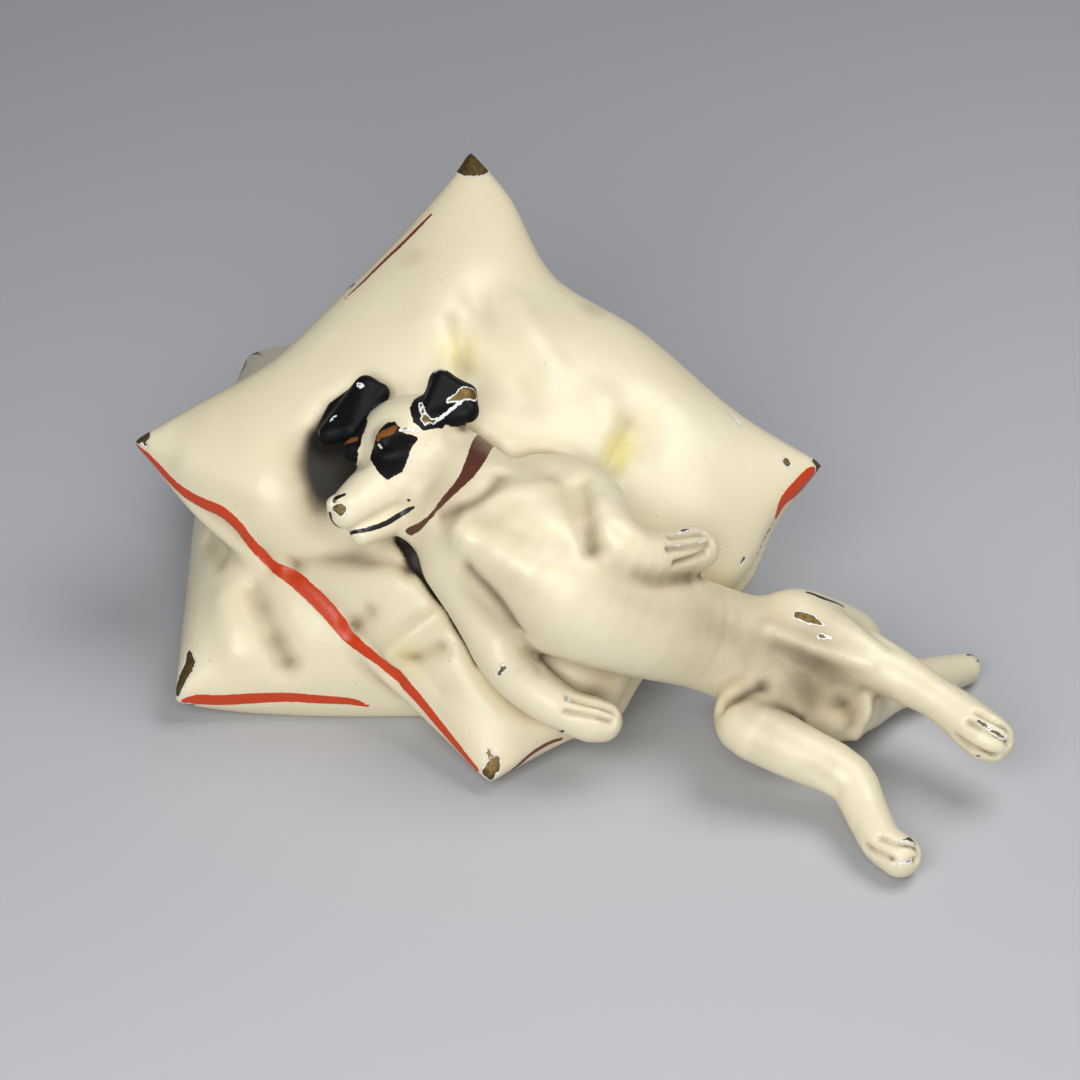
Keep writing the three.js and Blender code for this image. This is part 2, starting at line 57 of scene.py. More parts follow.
# The way back to the camera, and the photo's own right and up.
BACK = np.array((0.0, -math.cos(ELEVATION), math.sin(ELEVATION)))
RIGHT = np.array((1.0, 0.0, 0.0))
UP = np.cross(BACK, RIGHT)
EYE = MIDDLE + BACK * DISTANCE
# Rings of pixels searched round a mark that lies just off the edge.
RINGS = (0, 2, 4, 6, 9, 12, 16, 22)
RING_TURNS = 16

# The dog's form: centre of each section and its radius.
TRUNK = [
    (2.5, -26.7, 39.5, 9.6), (7.2, -34.0, 38.3, 11.2), (14.7, -40.8, 36.5, 12.4),
    (22.2, -45.0, 33.0, 12.0), (31.4, -46.0, 28.0, 10.1), (43.9, -42.8, 20.5, 8.9),
    (56.1, -42.9, 15.0, 8.9), (63.1, -45.0, 12.0, 8.2), (67.6, -47.7, 10.6, 7.0),
]
RIGHT_FORELEG = [
    (5.1, -41.4, 34.5, 6.4), (9.5, -45.9, 28.5, 6.0), (12.8, -50.7, 21.5, 4.7),
    (16.4, -53.1, 18.0, 4.1), (22.1, -55.6, 15.0, 3.6), (26.2, -55.9, 13.3, 3.8),
    (28.0, -55.8, 12.8, 3.5),
]
LEFT_FORELEG = [
    (18.0, -29.2, 38.5, 7.2), (23.4, -31.8, 41.5, 5.8), (26.8, -37.2, 43.0, 5.2),
    (29.4, -45.4, 43.0, 4.5), (34.1, -46.6, 40.5, 3.7), (39.4, -42.8, 37.5, 3.5),
    (42.5, -39.0, 35.3, 3.9), (43.8, -38.1, 34.6, 3.5),
]
RIGHT_HIND_LEG = [
    (61.1, -45.8, 11.0, 7.6), (55.5, -51.7, 12.5, 7.2), (51.9, -57.5, 14.0, 5.4),
    (58.7, -61.1, 11.5, 4.8), (68.1, -64.5, 8.0, 4.1), (70.7, -70.0, 6.0, 3.5),
    (73.0, -76.2, 4.6, 3.4), (75.7, -79.0, 4.2, 3.5),
]
LEFT_THIGH = [(67.7, -38.5, 13.5, 7.6), (63.6, -39.7, 18.0, 6.6), (60.1, -40.2, 20.5, 5.4)]
LEFT_SHANK = [
    (60.9, -41.6, 21.0, 5.6), (68.9, -46.1, 20.0, 4.7), (77.4, -50.5, 17.5, 4.0),
    (82.6, -53.0, 15.5, 3.4), (86.9, -56.2, 14.0, 3.8), (90.4, -59.8, 13.0, 4.1),
    (91.5, -60.6, 12.8, 3.7),
]
TAIL = [
    (71.6, -44.3, 7.5, 5.0), (76.7, -39.4, 6.0, 4.0), (83.8, -35.1, 4.6, 3.5),
    (90.1, -31.0, 3.2, 2.7),
]
# Each limb with how softly it runs into the body.
LIMBS = [
    (RIGHT_FORELEG, 2.0), (LEFT_FORELEG, 2.4), (RIGHT_HIND_LEG, 3.5), (LEFT_THIGH, 4.5),
    (LEFT_SHANK, 2.5), (TAIL, 2.5),
]
# Smooth steps in each span of the trunk, of a limb and of a drawn line.
TRUNK_STEPS = 4
LIMB_STEPS = 3
LINE_STEPS = 5

# Head frame: skull centre, the way the muzzle points and the way the crown points.
SKULL_CENTRE = np.array((-3.5, -25.8, 45.0))
MUZZLE_WAY = np.array((-0.683, -0.715, 0.145))
CROWN_WAY = np.array((-0.349, 0.495, 0.795))
HEAD_WAYS = np.stack([MUZZLE_WAY, np.cross(CROWN_WAY, MUZZLE_WAY), CROWN_WAY], axis=1)
# Head forms as forward, left, up: (kind, sizes, softness of the join).
HEAD_FORMS = [
    ("ball", ((-0.5, 0, 1.8), (8.8, 7.8, 7.6)), 1.0),
    ("ball", ((2.5, 4.0, -3.4), (6.5, 4.0, 4.8)), 2.0),
    ("ball", ((2.5, -4.0, -3.4), (6.5, 4.0, 4.8)), 2.0),
    ("bar", ((5.5, 0, -2.6, 5.4), (16.6, 0, -4.3, 3.1)), 2.5),
    ("bar", ((3.5, 0, -7.6, 4.3), (15.2, 0, -8.8, 2.0)), 1.2),
    ("ball", ((18.2, 0, -2.8), (1.7, 1.7, 1.5)), 0.6),
    ("ball", ((6.2, 4.2, 3.8), (3.2, 2.4, 2.2)), 1.8),
    ("ball", ((6.2, -4.2, 3.8), (3.2, 2.4, 2.2)), 1.8),
    ("bar", ((-3, 1, -4, 6.5), (4.5, 1.5, -9.5, 3.6)), 2.0),
]
# Ears: leaves with round edges, each a triangle and half its thickness.
EAR_LEAVES = [
    [((-6.2, 6.9, 9.8), (-8.4, 9.2, 5.6), (-1.8, 6.2, 5.8), 1.1),
     ((-7.1, 5.6, 9.1), (-2.4, 4.2, 4.9), (-3.3, 5.7, 3.6), 1.7),
     ((-7.1, 5.6, 9.1), (-3.3, 5.7, 3.6), (-7.7, 8.5, 3.2), 1.7),
     ((-7.1, 5.6, 9.1), (-7.7, 8.5, 3.2), (-9.5, 7.8, 5.8), 1.7)],
    [((-1.0, -8.1, 12.2), (2.2, -11.5, 10.9), (5.8, -12.1, 8.1), 1.1),
     ((-1.7, -6.5, 12.4), (-2.8, -5.0, 10.6), (3.7, -7.0, 7.0), 1.7),
     ((-1.7, -6.5, 12.4), (3.7, -7.0, 7.0), (6.2, -10.2, 7.4), 1.7)],
]
EAR_SOFTNESS = 1.0
NECK_SOFTNESS = 2.5
# A limb is only measured for points this near its box, and a drawn line likewise.
LIMB_REACH = 9.0
LINE_REACH = 8.0
FAR_OFF = 50.0
TINY = 1e-9
# The finest step at which the form is felt, the flattest slope and the longest move in settling.
FEELER = 0.05
LEAST_SLOPE = 0.2
LONGEST_MOVE = 0.5

# Seams of the upper and lower cushion from corner to corner.
UPPER_SEAM = {
    "front": [(-50.0, -13.0, 38.0), (-38.8, -22.2, 31.5), (-27.8, -28.6, 26.3),
              (-16.9, -35.5, 20.7), (-7.2, -43.3, 14.7), (-0.2, -49.4, 10.0), (9.8, -60.0, 3.0)],
    "right": [(9.8, -60.0, 3.0), (21.3, -52.4, 6.2), (30.1, -48.1, 8.2), (34.6, -41.5, 12.1),
              (43.1, -34.7, 15.8), (52.4, -27.1, 20.0), (57.7, -18.3, 25.3), (66.0, -9.4, 30.2)],
    "back": [(5.9, 34.6, 65.0), (12.8, 27.6, 59.5), (20.2, 15.8, 51.1), (35.1, 8.2, 44.8),
             (52.0, -3.3, 35.7), (66.0, -9.4, 30.2)],
    "left": [(-50.0, -13.0, 38.0), (-39.3, -7.3, 41.3), (-27.7, -0.5, 44.7),
             (-15.2, 11.3, 51.3), (-6.0, 20.4, 56.5), (3.3, 30.9, 62.5), (5.9, 34.6, 65.0)],
}
LOWER_SEAM = {
    "front": [(-43.0, -42.4, 6.0), (-25.6, -41.8, 5.6), (-10.4, -41.8, 5.4), (30.5, -41.0, 6.5)],
    "right": [(30.5, -41.0, 6.5), (35.0, -8.0, 8.0), (42.0, 34.0, 10.0)],
    "back": [(-35.2, 43.0, 15.0), (4.0, 37.0, 11.0), (42.0, 34.0, 10.0)],
    "left": [(-43.0, -42.4, 6.0), (-42.4, -19.6, 9.0), (-41.6, 2.0, 12.0), (-35.2, 43.0, 15.0)],
}
SEAM_STEPS = 16
SEAM_HALF_HEIGHT = 0.9
# Rise of the face and of the back over the sheet through the seams.
UPPER_RISE = (14.0, 14.0)
LOWER_RISE = (29.0, 20.0)
# The back of the upper cushion hangs out past its front and right seams.
SAG_FRONT, SAG_RIGHT, SAG_PLACE, SAG_REACH = 4.5, 2.5, 0.06, 0.09
FULLNESS = 0.5
CELLS_PER_SIDE = 90
# Puffs and valleys of the upper face: place along and across it, reaches, rise.
PUFFS = [
    (0.17, 0.66, 0.10, 0.14, 2.4), (0.38, 0.82, 0.08, 0.08, 1.6), (0.26, 0.76, 0.06, 0.06, -2.2),
    (0.38, 0.62, 0.06, 0.06, -1.4), (0.72, 0.90, 0.12, 0.08, 1.8), (0.68, 0.76, 0.05, 0.06, -1.8),
    (0.86, 0.74, 0.10, 0.12, 1.6), (0.16, 0.14, 0.12, 0.10, 2.2), (0.40, 0.13, 0.08, 0.07, 1.6),
    (0.49, 0.17, 0.03, 0.08, -2.5), (0.58, 0.12, 0.07, 0.08, 2.0), (0.67, 0.10, 0.03, 0.06, -1.6),
    (0.80, 0.10, 0.10, 0.07, 1.2),
]
# The face is pressed down round the dog, and the dog's bed is cut this much larger than the dog.
DENT_SHARE = 0.45
DENT_REACH = 3.0
BED_GAP = 0.4

# Relief of the dog: rise of the surface, half the stroke's width, and the pixels it runs through.
DOG_STROKES = [
    (-0.9, 1.6, [(440, 516), (470, 502), (486, 490), (500, 474)]),
    (0.6, 2, [(470, 514), (500, 498), (550, 486)]),
    (0.9, 2.2, [(462, 533), (466, 536)]),
    (0.6, 2.6, [(462, 533), (490, 548), (526, 570)]),
    (-0.6, 2.3, [(480, 520), (520, 535), (560, 548)]),
    (-1.1, 1.6, [(466, 570), (485, 590), (500, 608), (515, 630)]),
    (-1.1, 1.8, [(579, 484), (585, 515), (593, 548)]),
    (-0.3, 3, [(620, 590), (700, 625), (770, 655)]),
    (-1, 1.7, [(722, 705), (738, 694), (760, 684)]),
    (-1.7, 2.4, [(846, 708), (856, 730)]),
    (0.8, 1.1, [(868, 697), (866, 720), (858, 738)]),
    (-0.5, 1.4, [(850, 615), (870, 630), (890, 645)]),
    (0.6, 1.4, [(770, 630), (820, 650), (870, 664)]),
    (0.4, 2.8, [(735, 738), (740, 745)]),
    (0.5, 2.4, [(497, 663), (503, 668)]),
    (-0.4, 1.5, [(520, 640), (530, 655), (540, 668)]),
    (0.35, 1.6, [(600, 500), (605, 520)]),
    (-0.35, 1.6, [(640, 575), (660, 582), (690, 580)]),
    (0.3, 1.6, [(830, 790), (850, 820)]),
    (-0.3, 1.4, [(812, 770), (838, 792)]),
]
# Grooves between the toes, sunk and dark with dirt.
TOE_GROOVES = [
    [(670, 537), (688, 534), (704, 533)], [(668, 549), (690, 547), (710, 544)],
    [(675, 563), (692, 558), (707, 552)], [(566, 712), (590, 716), (612, 722)],
    [(568, 698), (592, 704), (614, 712)], [(866, 846), (888, 858), (916, 860)],
    [(880, 838), (900, 844), (918, 850)], [(968, 722), (988, 732), (1008, 743)],
    [(956, 737), (974, 748), (996, 756)], [(978, 712), (993, 720), (1008, 730)],
]
TOE_DEPTH, TOE_WIDTH, TOE_DIRT = 0.75, 0.55, 1.1
# The same on the head, as forward, left and up of the skull's centre; both sides are alike.
HEAD_STROKES = [
    (-0.6, 2.2, [(8.4, 5.2, 2.9)]),
    (0.45, 1.0, [(8.6, 5.6, 2.8)]),
    (-0.5, 2.4, [(10.0, 0.0, 2.2)]),
    (0.4, 1.8, [(14.5, 2.9, -4.6), (11.5, 4.0, -4.8)]),
    (-0.45, 0.45, [(19.4, 1.0, -2.6), (19.2, 1.3, -2.2)]),
    (-0.3, 0.4, [(19.6, 0.0, -3.2), (19.2, 0.0, -4.6)]),
    (-0.35, 1.6, [(3.0, 7.0, -6.5), (-1.0, 8.0, -3.0), (-3.0, 8.2, 1.0)]),
]
# Chips through the paint: pixels along each with half its width in millimetres.
DOG_CHIPS = [
    [(400, 430, 0.27), (406, 428.5, 0.41), (412, 431, 0.31), (420, 431.5, 0.17)],
    [(420, 402.5, 0.34), (422.5, 410, 0.48), (426, 418, 0.68), (431, 421.5, 0.54), (438, 419, 0.34),
     (446, 414, 0.31), (454, 407.5, 0.34), (460, 402.5, 0.41)],
    [(448, 401.5, 0.41), (458, 397, 0.85), (467, 393, 1.29), (473.5, 394.5, 1.15)],
    [(424, 420, 0.75), (425, 424.5, 0.34)], [(437, 372, 0.48), (444, 369.5, 0.48)],
    [(358, 384, 0.34), (361.5, 386.5, 0.48)], [(330, 421.5, 0.2), (337, 415, 0.17)],
    [(317.5, 436, 0.2), (320, 431, 0.17)], [(336, 508, 0.88), (341.5, 509, 1.02), (341, 513, 0.75)],
    [(378.5, 446, 0.37), (380.5, 450, 0.27)], [(500, 672, 0.85), (504, 667.5, 0.93)],
    [(518, 671, 0.34), (518.5, 672, 0.34)], [(569, 698.5, 0.59), (572, 699.5, 0.51)],
    [(560, 731.5, 0.68), (563, 731, 0.51)], [(797.5, 615, 0.85), (811, 619, 1.02), (824, 625.5, 0.34)],
    [(820, 636.5, 0.59), (831, 638, 0.34)],
    [(677.5, 533.5, 0.25), (685, 529.5, 0.59), (692.5, 530, 0.25)],
    [(675, 545, 0.34), (686, 546, 0.42), (699, 544, 0.34), (704, 539, 0.34)],
    [(682.5, 559, 0.21), (694, 556, 0.3), (704, 551, 0.17)],
    [(902, 840, 0.42), (910, 840, 0.76), (916.5, 846, 0.34)],
    [(867.5, 847.5, 0.25), (876, 854, 0.3), (886, 858, 0.17)],
    [(892.5, 864, 0.21), (904, 863, 0.34), (916, 858, 0.34)],
    [(978, 721, 0.5), (990, 729.5, 0.6), (1006, 739, 0.45)], [(962.5, 742.5, 0.25), (974, 749, 0.25)],
    [(976, 756, 0.34), (980, 756, 0.34)], [(1004, 751, 0.25), (1007, 748, 0.25)],
    [(968, 655, 0.59), (976, 657, 0.59), (977, 662, 0.42)], [(956, 686, 0.25), (961, 684, 0.25)],
]
# Black lines: the nose, the mouth and a stray mark on the haunch.
DOG_DARK_MARKS = [
    [(807.5, 592.5, 0.42), (825, 599, 0.59), (842.5, 606, 0.42)],
    [(334, 501, 0.34), (338, 497, 0.45), (344, 495, 0.36)],
    [(330, 513, 0.3), (333, 521, 0.36), (339, 528, 0.38), (346, 533, 0.36), (354, 532, 0.36)],
    [(346, 533, 0.3), (354, 532, 0.34), (361, 531, 0.36), (368, 529.5, 0.4), (376, 527, 0.42),
     (383, 524.5, 0.46), (390, 521, 0.46), (397, 517, 0.48), (403, 513, 0.44), (409, 509.5, 0.38),
     (413.5, 507.5, 0.24)],
    [(408.5, 500, 0.24), (409, 500, 0.24)],
]
COLLAR = [
    (486, 434.5, 1.7), (481.5, 446, 1.7), (475.5, 460, 1.56), (467, 475, 1.22), (456, 488, 0.81),
    (442, 502, 0.51), (432, 514, 0.44), (429, 517.5, 0.34), (420, 526, 0.61), (409, 532, 0.68),
]
BROWS = [
    [(377.5, 440, 0.34), (379.5, 436, 0.55), (384, 433, 0.72), (389, 431, 0.76), (395, 427, 0.42)],
    [(345.5, 443.5, 0.31), (349.5, 440.5, 0.58), (356, 439, 0.41)],
]
# Outlines of the black round the near eye and at the foot of the near ear.
BLACK_PATCHES = [
    [(388, 422), (395, 422), (400, 428), (404, 433), (412, 435), (418, 437), (417, 442), (412, 446),
     (409, 453), (407, 462), (403, 471), (396, 475), (388, 480), (381, 475), (375, 467), (370, 458),
     (371, 450), (374, 443), (376, 436), (380, 429)],
    [(421, 389), (414, 400), (410, 409), (413, 422), (423, 430), (432, 429), (443, 428), (446, 420),
     (440, 405), (430, 392)],
]
# Outline of the black over the far eye, which runs round the far side of the head to the ear; where
# the far side lies in shade, this black is partly painted shade.
FAR_PATCH = [
    (388, 388), (371, 402), (366, 424), (362, 438), (358, 450), (357, 462), (353, 472), (348, 480),
    (320, 480), (310, 440), (330, 390),
]
# The deep gap along the dog's near side, sunk into the cushion and darkened with painted shadow and
# old soot.
DARK_GAPS = [
    [(402, 540), (412, 556), (428, 580), (444, 602), (458, 622), (470, 640), (480, 660)],
]
GAP_DEPTH, GAP_WIDTH, GAP_SHADOW_AND_SOOT = 1.1, 0.9, 1.9
# Soft dirt and painted shade, such as the shadows under the arms, in the groin and between the legs:
# the pixel at its centre, its reach in millimetres and its strength.
DOG_DIRT_AND_SHADE = [
    (855, 718, 3, 0.5), (850, 700, 4, 0.28), (770, 705, 6, 0.5), (810, 700, 5, 0.5),
    (740, 698, 4, 0.5), (578, 515, 3, 0.22), (586, 535, 3, 0.25), (593, 550, 2.5, 0.25),
    (572, 498, 3, 0.2), (640, 600, 7, 0.4), (700, 615, 9, 0.5), (750, 640, 9, 0.5),
    (800, 650, 7, 0.35), (830, 690, 7, 0.28), (600, 570, 6, 0.2), (430, 480, 6, 0.3),
    (435, 500, 5, 0.2), (835, 640, 7, 0.35), (520, 590, 7, 0.28), (760, 745, 7, 0.25),
    (540, 640, 6, 0.25), (490, 600, 4, 0.6), (470, 575, 3, 0.5), (510, 625, 3, 0.5),
    (480, 500, 5, 0.4), (455, 515, 4, 0.4), (500, 480, 3, 0.35), (520, 525, 5, 0.3),
    (830, 765, 2.5, 0.3), (885, 695, 3, 0.5), (405, 520, 2, 0.3),
]
# Painted shadow and dirt on the cushions, such as the dark shadow beside the head, under the chin and
# along the dog's near side, given in the same way.
CUSHION_DIRT_AND_SHADE = [
    (328, 450, 4.5, 1.7), (336, 475, 4.5, 1.5), (328, 498, 4, 0.8), (318, 520, 4, 0.4),
    (352, 548, 3.5, 0.6), (300, 465, 6, 0.35), (262, 606, 3, 0.5), (276, 640, 3, 0.55),
    (290, 668, 3, 0.5), (212, 548, 3, 0.35), (222, 565, 3, 0.3), (362, 618, 2.5, 0.12),
    (405, 655, 3, 0.12), (430, 645, 3, 0.12), (190, 418, 5, 0.3), (330, 562, 3, 0.3),
    (370, 562, 3, 0.25), (405, 550, 3, 1), (415, 566, 2.5, 0.9), (593, 310, 3, 0.5),
    (560, 278, 2, 0.4), (412, 258, 3, 0.35), (470, 360, 4, 0.3), (540, 690, 5, 0.9),
    (600, 690, 4, 0.9), (520, 655, 4, 0.9), (445, 590, 3, 0.8), (470, 630, 3, 0.8),
]
# Places where the varnish has gone yellow, given in the same way.
YELLOWED = [
    (622, 445, 2.5, 0.9), (616, 460, 2.5, 0.8), (630, 432, 2, 0.6), (457, 345, 3, 0.5),
    (458, 365, 3, 0.5), (405, 655, 3, 0.5),
]
# The painted front seam of the upper cushion, which also stands up as a low welt.
FRONT_SEAM = [
    (133.5, 446.5, 0.6), (145, 450.5, 0.75), (156.5, 463.5, 0.9), (170, 476.5, 1.05),
    (186.5, 493.5, 1.2), (206.5, 504, 1.34), (223.5, 510, 1.34), (236.5, 521.5, 1.34),
    (250, 540, 1.2), (263.5, 555, 1.12), (270, 566.5, 0.67), (283.5, 571.5, 1.2),
    (300, 580.5, 1.49), (316.5, 597.5, 1.64), (330, 610.5, 1.57), (340, 624, 1.27),
    (347.5, 637.5, 1.12), (360, 648.5, 0.97), (383.5, 658.5, 0.9), (393.5, 675, 1.05),
    (410, 684, 1.27), (421.5, 701.5, 0.97), (440, 723.5, 0.9), (456.5, 744, 0.9),
    (477.5, 768.5, 0.67),
]
WELT_RISE, WELT_WIDTH = 0.35, 1.1
# Other painted lines and chips of the cushions, given as the dog's chips are.
RED_SEAMS = [
    [(183.5, 701.5, 0.5), (196.5, 700, 1.2), (220, 700.5, 1.27), (253.5, 698.5, 1.2),
     (286.5, 697.5, 1.06), (320, 699.5, 0.99), (353.5, 702, 0.78), (368.5, 706, 0.28)],
    [(819.5, 470, 0.97), (810, 478.5, 2.04), (796.5, 489.5, 1.61), (784, 501.5, 1.08),
     (776.5, 516, 0.65)],
]
MAROON_SEAMS = [
    [(432, 214, 0.25), (418, 228, 0.4), (400, 246, 0.45), (381, 264, 0.4), (362, 283, 0.3),
     (345, 299, 0.2)],
    [(244, 362, 0.5), (240, 372, 0.6), (238, 380, 0.5)],
    [(496, 782, 0.34), (510, 772, 0.51), (530, 755, 0.51), (550, 742.5, 0.51), (561, 739, 0.42)],
    [(611, 716, 0.42), (615, 710, 0.42)],
    [(772.5, 523.5, 0.28), (763.5, 540, 0.23), (753.5, 560, 0.23), (744, 576.5, 0.23)],
]
CUSHION_CHIPS = [
    [(133.5, 437.5, 1.25), (139.5, 433.5, 1.58), (144.5, 437.5, 1.13)],
    [(144.5, 444.5, 0.57), (146, 445.5, 0.51)], [(142, 457.5, 0.68), (150, 463.5, 0.68)],
    [(188.5, 654, 0.79), (190, 663.5, 1.25), (183.5, 675, 1.25), (177.5, 688.5, 1.08),
     (175.5, 696.5, 0.74)],
    [(182.5, 709.5, 0.51), (191.5, 714.5, 0.79), (198, 716.5, 0.45)],
    [(283.5, 400, 0.23), (283.5, 400.5, 0.23)],
    [(470, 150, 1.02), (471.5, 156.5, 2.6), (472.5, 162.5, 3.4)], [(491, 166, 0.34), (495, 170, 0.28)],
    [(786.5, 462, 0.96), (787.5, 462.5, 0.96)],
    [(814.5, 460, 0.79), (820, 465.5, 1.13), (821.5, 471.5, 0.85)],
    [(728.5, 412.5, 0.34), (734.5, 418.5, 0.45), (742, 426, 0.23)],
    [(739.5, 565, 0.4), (744, 557.5, 0.51)], [(489, 752.5, 0.76), (491, 756, 0.59)],
    [(485, 774, 0.93), (492.5, 767.5, 1.44), (496, 760, 0.93)], [(489, 779, 1.1), (491, 781, 0.93)],
    [(344, 291, 0.35), (350, 287, 0.6), (358, 283, 0.35)], [(405, 328, 0.15), (407, 328, 0.15)],
    [(243, 354, 0.7), (252, 354, 0.9), (262, 356, 0.4)],
]
# Folds and swellings of the cushions, given as the dog's relief is.
CUSHION_STROKES = [
    (-1.4, 1.8, [(293, 567), (333, 563), (387, 562), (408, 568)]),
    (1.4, 2.1, [(440, 613), (420, 627), (400, 647), (393, 657)]),
    (-1.4, 1.7, [(440, 647), (420, 657), (400, 663)]),
    (-1.2, 1.8, [(367, 613), (353, 627)]),
    (-0.7, 1.2, [(262, 554), (272, 568)]),
    (-0.7, 1.3, [(388, 664), (398, 678)]),
    (0.8, 3.5, [(190, 465), (222, 478), (255, 490)]),
    (-0.6, 2, [(207, 540), (220, 560)]),
    (-1.3, 2.6, [(252, 590), (268, 625), (286, 662)]),
    (0.8, 3, [(225, 600), (235, 650)]),
    (-0.6, 2, [(405, 655), (420, 672), (440, 690)]),
    (-0.6, 1.8, [(457, 317), (463, 345), (463, 365)]),
    (-0.5, 2.5, [(523, 383), (527, 403)]),
    (-0.9, 2, [(630, 425), (620, 445), (610, 467)]),
    (0.6, 3, [(513, 303), (530, 335), (552, 365)]),
    (0.5, 3.5, [(428, 325), (432, 335)]),
    (0.6, 3.5, [(604, 405), (612, 420)]),
]

# Colours as the eye sees them, from the cream to the bare metal, then the room's.
CREAM = "#e6dcc0"
CREAM_YELLOWED = "#dfd2ac"
VARNISH_YELLOW = "#e6d98c"
# The brown of dirt and painted shade, and the near black of soot and painted shadow where they lie
# thickest.
DIRT_AND_SHADE_BROWN = "#87714a"
SOOT_AND_SHADOW_BLACK = "#16110c"
SPECK = "#6b5335"
BLACK = "#0d0d0f"
TAN = "#7c491d"
COLLAR_BROWN = "#582f20"
ORANGE_RED = "#c63c08"
MAROON = "#7a3029"
GROUND_WHITE = "#e8e7e2"
BRONZE = "#a08550"
BRONZE_DARK = "#3c342a"
FLOOR_GREY = "#b7b8bb"
ROOM_GREY = "#c3c8d2"

# Sizes of the faces that the two skins are made of.
DOG_CELL = 0.45
CUSHION_CELL = 0.62
# Corners of a solid's loose triangles that are this near are one corner.
WELD = 0.01
# Rounds of settling on the form, before and after the face gets its smaller faces.
FIRST_ROUNDS, LAST_ROUNDS = 3, 2
# Rounds of evening out: the cushions' skin, the search for hollows, and the hollows found.
SKIN_ROUNDS, HOLLOW_ROUNDS, DIP_ROUNDS = 4, 14, 3
# The part of the head that gets smaller faces, as forward, left and up.
FACE_MIDDLE = (11.0, 0.0, -1.5)
FACE_REACH = 11.5
# How deep a black patch goes, and where the far one lies from the camera.
PATCH_REACH = 4.0
FAR_PATCH_REACH = 11.0
FAR_PATCH_DISTANCE = 683.0
# The ears' black reaches this far out from their leaves.
EAR_PAINT = 0.25
# Round the back of the neck the collar is a flat band, hidden where its painted line already runs.
COLLAR_MIDDLE = (5.0, -29.5, 42.0)
COLLAR_REACH = 13.0
COLLAR_SHOWN = 3.0
# The seams round the back are painted along the form's own seams, with this half width.
SEAM_PAINT = 0.8
SEAM_PAINT_STEPS = 6
# Dirt and painted shade in hollows, dirt and painted shadow where the castings meet, and the most that
# lies anywhere.
HOLLOW_DIRT_AND_SHADE = 2.2
CONTACT_REACH = 1.4
CONTACT_SEARCH = 3 * CONTACT_REACH * MM
DOG_CONTACT_SHADE_AND_DIRT, CUSHION_CONTACT_SHADE_AND_DIRT = 0.6, 0.7
DOG_MOST_DIRT_AND_SHADE, CUSHION_MOST_DIRT_AND_SHADE = 1.5, 2


def unit(v):
    return v / np.linalg.norm(v)


def mesh_tree(mesh):
    return BVHTree.FromPolygons([v.co for v in mesh.vertices], [f.vertices for f in mesh.polygons])


SOLIDS = {node: mesh_tree(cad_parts[node].data) for node in ("terrier", "cushions")}


def sight(x, y):
    """The way from the camera through a pixel of the photo."""
    return unit(RIGHT * (x - PHOTO_PIXELS / 2) + UP * (PHOTO_PIXELS / 2 - y) - BACK * FOCAL_PIXELS)


def seen_at(node, x, y):
    """The point of a solid that the photo shows at a pixel, or just beside it."""
    for ring in RINGS:
        for turn in range(RING_TURNS):
            angle = 2 * math.pi * turn / RING_TURNS
            way = sight(x + ring * math.cos(angle), y + ring * math.sin(angle))
            point = SOLIDS[node].ray_cast(Vector(EYE * MM), Vector(way))[0]
            if point:
                return np.array(point) / MM
    raise ValueError(f"nothing of {node} near pixel {x}, {y}")


def lay(node, marks):
    """Marks carried from the photo on to a solid; what follows a pixel stays with its point."""
    return [(*seen_at(node, x, y), *rest) for x, y, *rest in marks]


def steady(points):
    """A line of points with the shake taken out of it."""
    p = np.array(points)
    p[1:-1] = (p[:-2] + 2 * p[1:-1] + p[2:]) / 4
    return p


def blend(a, b, softness):
    """The nearer of two distances, with a soft hollow where they are alike."""
    share = np.maximum(softness - np.abs(a - b), 0) / softness
    return np.minimum(a, b) - share * share * softness / 4


def ball(p, centre, radii):
    """Distance, near enough, to a ball with three radii."""
    q = (p - np.array(centre)) / np.array(radii)
    scaled = np.linalg.norm(q, axis=1)
    steepness = np.linalg.norm(q / np.array(radii), axis=1)
    return scaled * (scaled - 1) / np.maximum(steepness, TINY)


def bar(p, a, b):
    """Distance to a bar that tapers from one round end to the other."""
    a, b = np.array(a, float), np.array(b, float)
    axis = b[:3] - a[:3]
    length2 = axis @ axis
    taper = a[3] - b[3]
    side2 = length2 - taper * taper
    d = p - a[:3]
    along = d @ axis
    past = along - length2
    off2 = ((d * length2 - along[:, None] * axis) ** 2).sum(axis=1)
    k = np.sign(taper) * taper * taper * off2
    end = np.sqrt(off2 + past * past * length2) / length2 - b[3]
    start = np.sqrt(off2 + along * along * length2) / length2 - a[3]
    side = (np.sqrt(off2 * side2 / length2) + along * taper) / length2 - a[3]
    at_end = np.sign(past) * side2 * past * past * length2 > k
    at_start = np.sign(along) * side2 * along * along * length2 < k
    return np.where(at_end, end, np.where(at_start, start, side))


def leaf(p, a, b, c, half):
    """Distance to a flat triangle with round edges."""
    corners = [np.array(x, float) for x in (a, b, c)]
    edges = [corners[1] - corners[0], corners[2] - corners[1], corners[0] - corners[2]]
    normal = np.cross(edges[0], edges[2])
    inside = np.ones(len(p), bool)
    nearest = np.full(len(p), np.inf)
    for corner, edge in zip(corners, edges):
        d = p - corner
        inside &= d @ np.cross(edge, normal) >= 0
        t = np.clip((d @ edge) / (edge @ edge), 0, 1)
        nearest = np.minimum(nearest, ((d - t[:, None] * edge) ** 2).sum(axis=1))
    flat = ((p - corners[0]) @ normal) ** 2 / (normal @ normal)
    return np.sqrt(np.where(inside, flat, nearest)) - half


